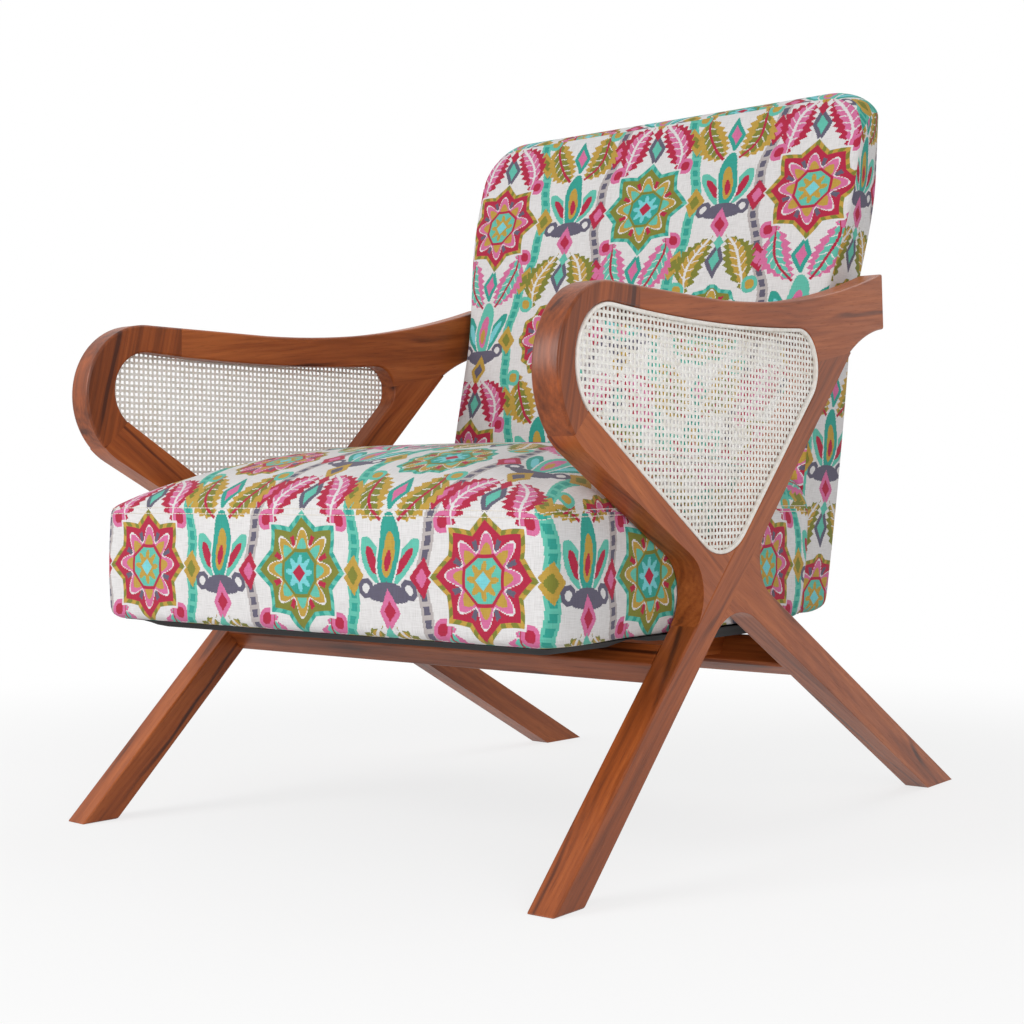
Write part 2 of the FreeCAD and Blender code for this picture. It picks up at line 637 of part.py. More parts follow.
def cane_spline():
    body = frame_body("right_cane_spline")
    sketch = new_sketch(body, "Outline", "YZ_Plane",
                        "Sizes.frame_thick - Sizes.rebate_depth + Sizes.cane_thick")
    heart(sketch, "Sizes.cane_room")
    heart(sketch, "Sizes.cane_room + Sizes.spline_width")
    pad(body, "Reed", sketch, "Sizes.spline_height")
    return body


def frame_dowels():
    body = frame_body("right_frame_dowels")
    joint_pegs(body, tuple(frame_joints), False)
    rail_pegs(body, tuple(rail_middles), False)
    return body


# Rails and bearers between the frames

def rail(label, corners):
    body = middle_body(label)
    sketch = new_sketch(body, "Section", "YZ_Plane")
    outline(sketch, corners)
    pad(body, "Bar", sketch, "2 * Layout.inner_half", both=True)
    ends = new_sketch(body, "Ends", "XY_Plane")
    far = "Layout.inner_half + Sizes.overrun"
    narrow = "Layout.inner_half - Sizes.stance * Layout.toe_tan"
    outline(ends, [("Layout.inner_half", "0"), (far, "0"), (far, "Sizes.stance"), (narrow, "Sizes.stance")])
    outline(ends, [("-Layout.inner_half", "0"), ("-(%s)" % narrow, "Sizes.stance"),
                   ("-(%s)" % far, "Sizes.stance"), ("-(%s)" % far, "0")])
    pocket(body, "EndCut", ends, "2 * Sizes.arm_height", both=True)
    across, height, along_u, along_z = rail_middles[label]
    for side in (1, -1):
        turn = {"Angle": "Sizes.toe_angle" if side > 0 else "180 - Sizes.toe_angle"}
        for shift in ("-", "+"):
            middle = "(%s %s Sizes.dowel_spread / 2 * %s)" % (across, shift, along_u)
            up = "%s %s Sizes.dowel_spread / 2 * %s" % (height, shift, along_z)
            back = "(Sizes.dowel_length / 2 + Sizes.dowel_room)"
            place = ("%s * cos(Sizes.toe_angle) - %s * sin(Sizes.toe_angle)" % (middle, back), up,
                     "%d * (Layout.inner_half - %s * sin(Sizes.toe_angle) - %s * cos(Sizes.toe_angle))"
                     % (side, middle, back))
            peg(body, "Peg", place, turn, True)
    doc.recompute()
    return body


def front_rail():
    wide = ("- Layout.diag_width * Layout.diag_sin", "+ Layout.diag_width * Layout.diag_cos")
    deep = ("+ Sizes.rail_thick * Layout.diag_cos", "+ Sizes.rail_thick * Layout.diag_sin")
    low = ("Layout.front_rail_u ", "Sizes.front_rail_height ")
    return rail("front_rail", [
        low, (low[0] + deep[0], low[1] + deep[1]),
        (low[0] + wide[0] + deep[0], low[1] + wide[1] + deep[1]), (low[0] + wide[0], low[1] + wide[1]),
    ])


def rear_rail():
    wide = ("+ Layout.rear_width * Layout.rear_sin", "+ Layout.rear_width * Layout.rear_cos")
    deep = ("- Sizes.rail_thick * Layout.rear_cos", "+ Sizes.rail_thick * Layout.rear_sin")
    low = ("Layout.rear_rail_u ", "Sizes.rear_rail_height ")
    return rail("rear_rail", [
        low, (low[0] + wide[0], low[1] + wide[1]),
        (low[0] + wide[0] + deep[0], low[1] + wide[1] + deep[1]), (low[0] + deep[0], low[1] + deep[1]),
    ])


# Screws up through the bearers, and up through the base bars into the back posts
bearer_spots = (("Layout.bearer_offset", "Layout.cross_front_u"),
                ("Layout.bearer_offset", "Layout.cross_rear_u"))
post_middle = "Layout.base_half - Sizes.base_bar / 2"
post_spots = ((post_middle, "Layout.post_u + Sizes.post_depth / 2"),)


def both_sides(spots):
    return [("%s(%s)" % (sign, across), along) for sign in ("", "-") for across, along in spots]


def bearer():
    body = middle_body("right_bearer")
    sketch = new_sketch(body, "Side", "YZ_Plane", "Layout.bearer_offset")
    front = "Layout.front_rail_back_u - (%s - Layout.front_rail_back_z) * Layout.diag_tan"
    back = "Layout.rear_rail_face_u + (%s - Layout.rear_rail_face_z) * Layout.rear_tan"
    low = "Sizes.bearer_under"
    high = "Sizes.seat_base"
    outline(sketch, [(front % low, low), (back % low, low), (back % high, high), (front % high, high)])
    pad(body, "Bar", sketch, "Sizes.bearer_thick", both=True)
    holes = new_sketch(body, "Holes", "XY_Plane", "Sizes.bearer_under")
    circles(holes, bearer_spots, "Sizes.screw_size / 2 + Sizes.screw_fit")
    pocket(body, "ScrewHoles", holes, "Sizes.seat_base - Sizes.bearer_under", reverse=True)
    return body


def screws(label, spots, under, bite_from):
    # Round shank with a low head below the wood
    body = middle_body(label)
    head = new_sketch(body, "Heads", "XY_Plane", under)
    circles(head, both_sides(spots), "Sizes.screw_head / 2")
    pad(body, "Head", head, "Sizes.screw_head_tall", reverse=True)
    shank = new_sketch(body, "Shanks", "XY_Plane", under)
    circles(shank, both_sides(spots), "Sizes.screw_size / 2")
    pad(body, "Shank", shank, "%s + Sizes.screw_bite - %s" % (bite_from, under))
    return body


# Base frame

def block(label, low, size):
    box = keep(doc.addObject("Part::Box", label), label)
    for name, text in zip(("Length", "Width", "Height"), size):
        box.setExpression(name, text)
    for axis, text in zip("xyz", low):
        text = text + " + Layout.front_y" if axis == "y" else text
        box.setExpression("Placement.Base." + axis, text)
    return box


def drilled_bar(label, low, high, spots):
    # A bar of the base frame with clearance holes for screws from below
    body = middle_body(label)
    plan = new_sketch(body, "Plan", "XY_Plane", "Layout.base_low")
    outline(plan, [(low[0], low[1]), (high[0], low[1]), (high[0], high[1]), (low[0], high[1])])
    pad(body, "Bar", plan, "Sizes.base_tall")
    holes = new_sketch(body, "Holes", "XY_Plane", "Layout.base_low")
    circles(holes, spots, "Sizes.screw_size / 2 + Sizes.screw_fit")
    pocket(body, "ScrewHoles", holes, "Sizes.base_tall", reverse=True)
    return body


def base_frame():
    inside = "Layout.base_inside"
    front = "Layout.base_front"
    rear = "Layout.base_rear - Sizes.base_bar"
    section = ("2 * Layout.base_inside", "Sizes.base_bar", "Sizes.base_tall")
    block("base_front_bar", ("-" + inside, front, "Layout.base_low"), section)
    block("base_rear_bar", ("-" + inside, rear, "Layout.base_low"), section)
    outer = ("Layout.base_half", "Layout.base_rear")
    mirrored(drilled_bar("base_right_bar", (inside, front), outer, post_spots), "base_left_bar")
    for place in ("front", "rear"):
        middle = "Layout.cross_%s_u" % place
        spots = (("Layout.bearer_offset", middle), ("-Layout.bearer_offset", middle))
        drilled_bar("base_cross_" + place, ("-" + inside, middle + " - Sizes.base_bar / 2"),
                    (inside, middle + " + Sizes.base_bar / 2"), spots)
    corner_blocks()


def corner_blocks():
    body = middle_body("base_corner_blocks")
    plan = new_sketch(body, "Plan", "XY_Plane", "Layout.base_low")
    front = "Layout.base_front + Sizes.base_bar"
    rear = "Layout.base_rear - Sizes.base_bar"
    for sign in ("", "-"):
        edge = sign + "Layout.base_inside"
        in_edge = sign + "(Layout.base_inside - Sizes.block_leg)"
        outline(plan, [(edge, front), (edge, front + " + Sizes.block_leg"), (in_edge, front)])
        outline(plan, [(edge, rear), (in_edge, rear), (edge, rear + " - Sizes.block_leg")])
    pad(body, "Blocks", plan, "Sizes.base_tall")
    return body


def dust_cover():
    body = middle_body("dust_cover")
    plan = new_sketch(body, "Plan", "XY_Plane", "Sizes.seat_base")
    front = "Layout.base_front - Sizes.dust_reach"
    step = "Layout.back_front - Sizes.dust_reach"
    edge = "(Layout.inner_half - (%s) * Layout.toe_tan"
    edge += " - Sizes.seat_gap - Sizes.seat_bulge - Sizes.dust_inset)"
    right = [(edge % front, front), (edge % step, step), ("Layout.base_half", step),
             ("Layout.base_half", "Layout.base_rear")]
    outline(plan, right + [("-" + across, along) for across, along in right[::-1]])
    circles(plan, both_sides(bearer_spots), "Sizes.screw_size / 2 + Sizes.screw_fit")
    circles(plan, both_sides(post_spots), "Sizes.screw_head / 2 + Sizes.screw_fit")
    pad(body, "Sheet", plan, "Sizes.dust_thick")
    return body


# Back frame

def back_post():
    body = middle_body("right_back_post")
    sketch = new_sketch(body, "Side", "YZ_Plane", "Layout.base_half - Sizes.base_bar")
    outline(sketch, [
        ("Layout.post_u", "Layout.base_top"), ("Layout.base_rear", "Layout.base_top"),
        ("Layout.base_rear + Layout.post_run", "Layout.post_top"),
        ("Layout.post_u + Layout.post_run", "Layout.post_top"),
    ])
    pad(body, "Bar", sketch, "Sizes.base_bar")
    holes = new_sketch(body, "Holes", "XY_Plane", "Layout.base_top")
    circles(holes, post_spots, "Sizes.screw_size / 2 + Sizes.screw_fit")
    pocket(body, "ScrewHoles", holes, "Sizes.screw_bite + Sizes.dowel_room", reverse=True)
    return body


def back_bar(label, along):
    bar = keep(doc.addObject("Part::Box", label), label)
    bar.setExpression("Length", "2 * Layout.base_inside")
    bar.setExpression("Width", "Layout.back_bar_deep")
    bar.setExpression("Height", "Sizes.back_bar_tall")
    bar.Placement = FreeCAD.Placement(
        FreeCAD.Vector(), FreeCAD.Rotation(FreeCAD.Vector(-1, 0, 0), number("Sizes.post_angle")))
    bar.setExpression("Placement.Rotation.Angle", "Sizes.post_angle")
    bar.setExpression("Placement.Base.x", "-Layout.base_inside")
    bar.setExpression("Placement.Base.y",
                      "Layout.front_y + Layout.post_u + (%s) * sin(Sizes.post_angle)" % along)
    bar.setExpression("Placement.Base.z", "Layout.base_top + (%s) * cos(Sizes.post_angle)" % along)
    return bar


def straps(label, pitch, count, first):
    body = keep(doc.addObject("PartDesign::Body", label), label)
    on_seat = label == "seat_webbing"
    plan = new_sketch(body, "Strap", "XY_Plane" if on_seat else "XZ_Plane")
    outline(plan, [("-Layout.base_half", "0"), ("Layout.base_half", "0"),
                   ("Layout.base_half", "Sizes.strap_width"), ("-Layout.base_half", "Sizes.strap_width")])
    strap = pad(body, "Strap_pad", plan, "Sizes.strap_thick")
    row = body.newObject("PartDesign::LinearPattern", "Row")
    row.Originals = [strap]
    row.Direction = (origin_item(body, "Y_Axis" if on_seat else "Z_Axis"), [""])
    row.Mode = "Spacing"
    row.setExpression("Offset", pitch)
    row.setExpression("Occurrences", count)
    body.Tip = row
    if on_seat:
        body.setExpression("Placement.Base.y", "Layout.front_y + Layout.base_front + %s" % first)
        body.setExpression("Placement.Base.z", "Layout.base_top")
    else:
        body.Placement = FreeCAD.Placement(
            FreeCAD.Vector(), FreeCAD.Rotation(FreeCAD.Vector(-1, 0, 0), number("Sizes.post_angle")))
        body.setExpression("Placement.Rotation.Angle", "Sizes.post_angle")
        body.setExpression("Placement.Base.y",
                           "Layout.front_y + Layout.post_u + %s * sin(Sizes.post_angle)" % first)
        body.setExpression("Placement.Base.z", "Layout.base_top + %s * cos(Sizes.post_angle)" % first)
    doc.recompute()
    return body


# Soft forms: the seat is lofted from front to back, the back from side to side

def loft(body, name, sketches, additive=True):
    kind = "PartDesign::%sLoft" % ("Additive" if additive else "Subtractive")
    feature = body.newObject(kind, name)
    feature.Profile = (sketches[0], [""])
    feature.Sections = [(sketch, [""]) for sketch in sketches[1:]]
    feature.Ruled = True
    doc.recompute()
    return feature


def seat_sections(body, name, inset, low):
    sketches = []
    last = len(seat_station_shares) - 1
    for index, (along, draw, crown, spread) in enumerate(seat_station_shares):
        nudge = {0: " + (%s)" % inset, last: " - (%s)" % inset}.get(index, "")
        depth = "(Layout.seat_front + %s * Layout.seat_run%s)" % (along, nudge)
        sketch = new_sketch(body, "%s%d" % (name, index), "XZ_Plane", "-" + depth)
        half = "(Layout.inner_half - %s * Layout.toe_tan - Sizes.seat_gap - Sizes.seat_bulge" % depth
        half += " + %s * Sizes.seat_spread - %s * Sizes.seat_draw - (%s))" % (spread, draw, inset)
        seam = "(Sizes.seat_seam - %s * Sizes.seat_draw / 2 - (%s))" % (draw, inset)
        top = "(Sizes.seat_seam + %s * Sizes.seat_crown - (%s))" % (crown, inset)
        rise = "(%s * Sizes.seat_crown * Sizes.shoulder_share)" % crown
        waist = "((%s + %s) / 2)" % (low, seam)
        edge = "(%s - Sizes.seat_shoulder)" % half
        bend = "(%s - Sizes.seat_shoulder * Sizes.bend_share)" % half
        outline(sketch, [
            ("-" + half, low), (half, low, half + " + Sizes.seat_bulge", waist),
            (half, seam, bend, seam + " + %s * Sizes.lift_share" % rise),
            (edge, seam + " + " + rise, "0", top),
            ("-" + edge, seam + " + " + rise, "-" + bend, seam + " + %s * Sizes.lift_share" % rise),
            ("-" + half, seam, "-(%s + Sizes.seat_bulge)" % half, waist),
        ])
        sketches.append(sketch)
    return sketches


def back_sections(body, name, inset, low):
    sketches = []
    for index, (across, draw, drop, crown, lift) in enumerate(back_station_shares):
        # The outer sections start above the arms, where the cushion spreads over them
        foot = "(Sizes.seat_base + %s * Sizes.back_flare + (%s))" % (lift, inset) if lift else low
        nudge = " - (%s)" % inset if across > 0 else " + (%s)" % inset
        place = "%s * Layout.back_half%s" % (across, nudge if draw else "")
        sketch = new_sketch(body, "%s%d" % (name, index), "YZ_Plane", place)
        pull = "(%s * Sizes.back_draw + (%s))" % (draw, inset)
        high = "(Sizes.back_seam_height - %s * Sizes.back_corner - (%s))" % (drop, inset)
        middle = "((%s + %s) / 2)" % (foot, high)
        front = {}
        rear = {}
        for height in (foot, middle, high):
            share = "((%s - Sizes.seat_base) / (Sizes.back_seam_height - Sizes.seat_base))" % height
            swell = "(4 * %s * (1 - %s))" % (share, share)
            lean = "Layout.back_front + %s * Layout.back_run" % share
            deep = "Sizes.back_low_depth + %s * (Sizes.back_top_depth - Sizes.back_low_depth)" % share
            front[height] = "(%s + %s - %s * Sizes.back_crown * %s)" % (lean, pull, crown, swell)
            rear[height] = "(%s + %s - %s + Sizes.back_rear_sag * %s)" % (lean, deep, pull, swell)
        outline(sketch, [
            (front[foot], foot),
            (rear[foot], foot, rear[middle], middle),
            (rear[high], high, "(%s + %s) / 2" % (front[high], rear[high]), high + " + Sizes.back_top_round"),
            (front[high], high, front[middle], middle),
        ])
        sketches.append(sketch)
    return sketches


def base_pocket(body):
    # Room for the base frame and the webbing, from below
    plan = new_sketch(body, "BasePlan", "XY_Plane", "Sizes.seat_base - Sizes.overrun")
    half = "(Layout.base_half + Sizes.soft_room)"
    front = "Layout.base_front - Sizes.soft_room"
    rear = "Layout.base_rear + Sizes.soft_room"
    outline(plan, [("-" + half, front), (half, front), (half, rear), ("-" + half, rear)])
    pocket(body, "BaseRoom", plan, "Layout.soft_top - Sizes.seat_base + Sizes.overrun", reverse=True)


def seat_end(body):
    # Shapes the rear of the seat to the curved front of the back
    side = new_sketch(body, "BackCurve", "YZ_Plane")
    near = "Layout.back_front - Sizes.soft_room"
    outline(side, [
        ("Sizes.stance", "Sizes.seat_base"), ("Sizes.stance", "Sizes.back_seam_height"),
        (near + " + Layout.back_run", "Sizes.back_seam_height",
         near + " + Layout.back_run / 2 - Sizes.back_crown",
         "(Sizes.seat_base + Sizes.back_seam_height) / 2"),
        (near, "Sizes.seat_base"),
    ])
    pocket(body, "BackCut", side, "2 * Sizes.frame_width", both=True)


def seat_foam():
    body = middle_body("seat_foam")
    sections = seat_sections(body, "Section", "Layout.foam_inset", "(Layout.base_low + Sizes.soft_room)")
    loft(body, "Pad", sections)
    seat_end(body)
    base_pocket(body)
    return body


def seat_cover():
    body = middle_body("seat_cover")
    loft(body, "Outside", seat_sections(body, "Outer", "0", "Sizes.seat_base"))
    inside = seat_sections(body, "Inner", "Sizes.cover_thick", "(Sizes.seat_base - Sizes.cover_thick)")
    loft(body, "Inside", inside, additive=False)
    seat_end(body)
    return body


def back_split(body, offset, towards_rear):
    # Cuts away all that lies before or behind a plane along the posts
    side = new_sketch(body, "Split", "YZ_Plane")
    tall = "(Sizes.back_seam_height + Sizes.back_corner)"
    run = "(%s - Layout.base_top) * tan(Sizes.post_angle)" % tall
    fall = "(Sizes.seat_base - Sizes.overrun - Layout.base_top) * tan(Sizes.post_angle)"
    low = "Sizes.seat_base - Sizes.overrun"
    far = "Sizes.stance" if towards_rear else "Layout.seat_front"
    outline(side, [("Layout.post_u + %s + %s" % (offset, fall), low), (far, low), (far, tall),
                   ("Layout.post_u + %s + %s" % (offset, run), tall)])
    pocket(body, "SplitCut", side, "2 * Sizes.frame_width", both=True)


def back_foam(label, offset, towards_rear):
    body = middle_body(label)
    loft(body, "Pad", back_sections(body, "Section", "Layout.foam_inset", "Sizes.seat_base"))
    back_split(body, offset, towards_rear)
    base_pocket(body)
    return body


def back_cover():
    body = middle_body("back_cover")
    loft(body, "Outside", back_sections(body, "Outer", "0", "Sizes.seat_base"))
    inside = back_sections(body, "Inner", "Sizes.cover_thick", "(Sizes.seat_base - Sizes.cover_thick)")
    loft(body, "Inside", inside, additive=False)
    base_pocket(body)
    return body


# The whole chair

for make in (front_leg, rear_leg, front_stile, arm_nose, arm_rail, cane_panel, cane_spline, frame_dowels):
    right = make()
    mirrored(right, right.Label.replace("right", "left"))
front_rail()
rear_rail()
mirrored(bearer(), "left_bearer")
base_frame()
dust_cover()
screws("bearer_screws", bearer_spots, "Sizes.bearer_under", "Layout.base_low")
screws("post_screws", post_spots, "Layout.base_low", "Layout.base_top")
mirrored(back_post(), "left_back_post")
back_bar("back_low_bar", "Sizes.back_low_rise")
back_bar("back_mid_bar", "(Layout.post_length - Sizes.back_bar_tall) / 2")
back_bar("back_top_bar", "Layout.post_length - Sizes.back_bar_tall")
straps("seat_webbing", "Layout.seat_strap_pitch", "Sizes.seat_straps", "Sizes.strap_first")
straps("back_webbing", "Layout.back_strap_pitch", "Sizes.back_straps", "Sizes.back_strap_first")
seat_foam()
seat_cover()
back_foam("back_front_foam", "- Sizes.strap_thick - Sizes.soft_room", True)
back_foam("back_rear_foam", "Sizes.post_depth + Sizes.soft_room", False)
back_cover()
doc.recompute()

faults = [item.Label for item in doc.Objects if "Invalid" in item.State or "Error" in item.State]
faults += [item.Label for item in parts if item.Shape.isNull() or not item.Shape.isValid()]
if faults:
    raise RuntimeError("failed: " + ", ".join(faults))
os.makedirs("parts", exist_ok=True)
for item in parts:
    item.Shape.exportStep("parts/%s.step" % item.Label)
    print(item.Label, len(item.Shape.Solids), "solids", round(item.Shape.Volume), "mm3")
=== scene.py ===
import bpy
import bmesh
import json
import math
import numpy as np
from mathutils import Matrix, Vector
from mathutils.bvhtree import BVHTree

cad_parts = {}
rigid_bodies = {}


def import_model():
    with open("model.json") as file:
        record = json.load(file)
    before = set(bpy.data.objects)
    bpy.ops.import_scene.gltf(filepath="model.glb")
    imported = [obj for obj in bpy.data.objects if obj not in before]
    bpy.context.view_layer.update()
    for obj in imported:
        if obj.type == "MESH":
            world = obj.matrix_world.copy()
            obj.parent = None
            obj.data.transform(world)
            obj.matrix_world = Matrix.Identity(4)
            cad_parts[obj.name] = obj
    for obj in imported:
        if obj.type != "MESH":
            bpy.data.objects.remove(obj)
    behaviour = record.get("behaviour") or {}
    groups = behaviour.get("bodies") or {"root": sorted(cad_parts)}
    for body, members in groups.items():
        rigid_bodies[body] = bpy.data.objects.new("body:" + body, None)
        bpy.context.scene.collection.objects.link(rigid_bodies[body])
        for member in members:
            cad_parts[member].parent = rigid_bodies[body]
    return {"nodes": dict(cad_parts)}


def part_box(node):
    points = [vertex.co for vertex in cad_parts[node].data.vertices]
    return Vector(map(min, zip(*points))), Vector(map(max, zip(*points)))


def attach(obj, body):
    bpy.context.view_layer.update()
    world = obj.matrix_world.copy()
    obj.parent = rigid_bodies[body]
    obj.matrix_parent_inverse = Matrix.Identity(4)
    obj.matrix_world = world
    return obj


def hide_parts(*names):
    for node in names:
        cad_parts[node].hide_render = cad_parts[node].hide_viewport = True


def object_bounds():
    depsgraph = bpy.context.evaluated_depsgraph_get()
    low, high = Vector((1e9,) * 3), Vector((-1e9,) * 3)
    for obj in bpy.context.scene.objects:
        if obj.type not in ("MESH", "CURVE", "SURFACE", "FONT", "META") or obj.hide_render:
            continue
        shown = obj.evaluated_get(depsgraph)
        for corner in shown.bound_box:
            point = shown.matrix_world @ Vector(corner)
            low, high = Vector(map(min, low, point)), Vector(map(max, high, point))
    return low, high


for stray in list(bpy.data.objects):
    bpy.data.objects.remove(stray)
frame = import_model()
nodes = frame["nodes"]
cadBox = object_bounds()
scene = bpy.context.scene
print("frame loaded,", len(nodes), "nodes")

# metres, apart from the print; depth is counted back from the front feet, height up from the floor
toeIn = math.radians(2.05)  # the arm frames close in towards the rear
shared = {
    "frontEdge": cadBox[0].y,
    "innerHalf": 0.31902,  # inner face of an arm frame at its front
    "toeIn": toeIn,
    "toeSlope": math.tan(toeIn),
    "mergeWithin": 1e-5,
    "flatWithin": math.radians(0.6),  # CAD triangles nearer to flat than this become one face
}


class Wire:
    # one socket of a node tree; sums on it add Math nodes
    def __init__(self, tree, socket=None):
        self.tree = tree
        self.socket = socket

    def node(self, kind, settings=None, inputs=None, out=0):
        made = self.tree.nodes.new(kind)
        for key, value in (settings or {}).items():
            if key == "stops":
                ramp = made.color_ramp
                while len(ramp.elements) > 1:
                    ramp.elements.remove(ramp.elements[-1])
                ramp.elements[0].position = value[0][0]
                ramp.elements[0].color = (*value[0][1], 1)
                for place, colour in value[1:]:
                    ramp.elements.new(place).color = (*colour, 1)
            else:
                setattr(made, key, value)
        for key, value in (inputs or {}).items():
            if isinstance(value, Wire):
                self.tree.links.new(value.socket, made.inputs[key])
            elif isinstance(value, (list, tuple)) and value and isinstance(value[0], Wire):
                for one in value:
                    self.tree.links.new(one.socket, made.inputs[key])
            else:
                made.inputs[key].default_value = value
        return Wire(self.tree, made.outputs[out] if made.outputs else None)

    def sum(self, operation, *values):
        return self.node("ShaderNodeMath", {"operation": operation}, dict(enumerate(values)))

    def __add__(self, other):
        return self.sum("ADD", self, other)

    __radd__ = __add__

    def __sub__(self, other):
        return self.sum("SUBTRACT", self, other)

    def __rsub__(self, other):
        return self.sum("SUBTRACT", other, self)

    def __mul__(self, other):
        return self.sum("MULTIPLY", self, other)

    __rmul__ = __mul__

    def __truediv__(self, other):
        return self.sum("DIVIDE", self, other)

    def __rtruediv__(self, other):
        return self.sum("DIVIDE", other, self)

    def __mod__(self, other):
        return self.sum("FLOORED_MODULO", self, other)

    def __lt__(self, other):
        return self.sum("LESS_THAN", self, other)

    def __gt__(self, other):
        return self.sum("GREATER_THAN", self, other)

    def __abs__(self):
        return self.sum("ABSOLUTE", self)

    def __neg__(self):
        return self.sum("MULTIPLY", self, -1.0)

    def cos(self):
        return self.sum("COSINE", self)

    def floor(self):
        return self.sum("FLOOR", self)

    def least(self, other):
        return self.sum("MINIMUM", self, other)

    def most(self, other):
        return self.sum("MAXIMUM", self, other)

    def triangle(self, size):
        return self.sum("PINGPONG", self, size)

    def stretch(self, x, y, z):
        return self.node("ShaderNodeVectorMath", {"operation": "MULTIPLY"}, {0: self, 1: (x, y, z)})

    def shift(self, other):
        return self.node("ShaderNodeVectorMath", {"operation": "ADD"}, {0: self, 1: other})

    def length(self):
        return self.node("ShaderNodeVectorMath", {"operation": "LENGTH"}, {0: self}, out="Value")

    def parts(self):
        split = self.node("ShaderNodeSeparateXYZ", None, {0: self})
        return [Wire(self.tree, one) for one in split.socket.node.outputs]

    def join(self, x, y, z=0.0):
        return self.node("ShaderNodeCombineXYZ", None, {0: x, 1: y, 2: z})

    def between(self, low, high, first=0.0, last=1.0, curve="LINEAR"):
        ends = {"Value": self, "From Min": low, "From Max": high, "To Min": first, "To Max": last}
        return self.node("ShaderNodeMapRange", {"interpolation_type": curve}, ends)

    def noise(self, scale, detail=2.0, rough=0.5):
        # scale is per metre, one number or one each for x, y and z
        scale = scale if isinstance(scale, tuple) else (scale, scale, scale)
        sizes = {"Vector": self.stretch(*scale), "Scale": 1.0, "Detail": detail, "Roughness": rough}
        return self.node("ShaderNodeTexNoise", None, sizes)

    def mix(self, share, below, above, blend="MIX"):
        made = self.node("ShaderNodeMix", {"data_type": "RGBA", "blend_type": blend}, {0: share}, out=2)
        for key, value in ((6, below), (7, above)):
            if isinstance(value, Wire):
                self.tree.links.new(value.socket, made.socket.node.inputs[key])
            else:
                made.socket.node.inputs[key].default_value = (*value, 1)
        return made

    def ramp(self, share, *stops):
        return self.node("ShaderNodeValToRGB", {"stops": stops}, {0: share})

    def bump(self, height, strength, distance):
        sizes = {"Height": height, "Strength": strength, "Distance": distance}
        return self.node("ShaderNodeBump", None, sizes)


def linear(text):
    # a colour as written on a swatch, for the shader
    parts = [int(text[i:i + 2], 16) / 255 for i in (1, 3, 5)]
    return tuple(p / 12.92 if p <= 0.04045 else ((p + 0.055) / 1.055) ** 2.4 for p in parts)


def startMaterial(name):
    material = bpy.data.materials.new(name)
    material.use_nodes = True
    material.node_tree.nodes.clear()
    return material, Wire(material.node_tree)


def endMaterial(wire, colour, roughness, normal, **fixed):
    sockets = {"Base Color": colour, "Roughness": roughness, "Normal": normal, **fixed}
    surface = wire.node("ShaderNodeBsdfPrincipled", None, sockets)
    wire.node("ShaderNodeOutputMaterial", None, {"Surface": surface})


def objectPlace(wire):
    return wire.node("ShaderNodeTexCoord", out="Object")


def addPiece(name, mesh, material):
    piece = bpy.data.objects.new(name, mesh)
    scene.collection.objects.link(piece)
    mesh.materials.clear()
    mesh.materials.append(material)
    return piece


def settle(piece):
    # modifiers become a plain mesh
    bpy.context.view_layer.update()
    graph = bpy.context.evaluated_depsgraph_get()
    mesh = bpy.data.meshes.new_from_object(piece.evaluated_get(graph), depsgraph=graph)
    piece.modifiers.clear()
    piece.data = mesh
    return mesh


def points(mesh):
    place = np.zeros(len(mesh.vertices) * 3)
    mesh.vertices.foreach_get("co", place)
    return place.reshape(-1, 3)


def setPoints(mesh, place):
    mesh.vertices.foreach_set("co", place.reshape(-1))
    mesh.update()


def skinOf(mesh):
    # for finding the nearest spot on a mesh
    work = bmesh.new()
    work.from_mesh(mesh)
    tree = BVHTree.FromBMesh(work)
    work.free()
    return tree


def mergedCopy(node):
    mesh = nodes[node].data.copy()
    mesh.name = node + "Shape"
    work = bmesh.new()
    work.from_mesh(mesh)
    bmesh.ops.remove_doubles(work, verts=work.verts, dist=shared["mergeWithin"])
    bmesh.ops.dissolve_limit(work, angle_limit=shared["flatWithin"], verts=work.verts, edges=work.edges)
    work.to_mesh(mesh)
    work.free()
    for layer in list(mesh.attributes):
        if layer.name.startswith("custom_normal"):
            mesh.attributes.remove(layer)
    return mesh


def roundEdges(piece, width, steps, crease, isFree):
    # edges sharper than the crease get a round where isFree lets them
    mesh = piece.data
    work = bmesh.new()
    work.from_mesh(mesh)
    weight = work.edges.layers.float.new("bevel_weight_edge")
    for edge in work.edges:
        if len(edge.link_faces) == 2 and edge.calc_face_angle(0) > crease:
            if isFree((edge.verts[0].co + edge.verts[1].co) / 2):
                edge[weight] = 1.0
    work.to_mesh(mesh)
    work.free()
    rounder = piece.modifiers.new("round", "BEVEL")
    rounder.limit_method = "WEIGHT"
    rounder.width = width
    rounder.segments = steps
    mesh.shade_smooth()
    mesh.set_sharp_from_angle(angle=crease)
    return rounder


# camera
view = {
    "place": (1.2416, -1.6126, 0.375),
    "dip": -0.652,
    "turn": 38.898,
    "lens": 58.785,
    "sensor": 36,
}
camera = bpy.data.objects.new("camera", bpy.data.cameras.new("camera"))
scene.collection.objects.link(camera)
camera.data.sensor_width = view["sensor"]
camera.data.lens = view["lens"]
camera.location = view["place"]
camera.rotation_euler = (math.radians(90 + view["dip"]), 0, math.radians(view["turn"]))
scene.camera = camera
scene.view_settings.view_transform = "Standard"

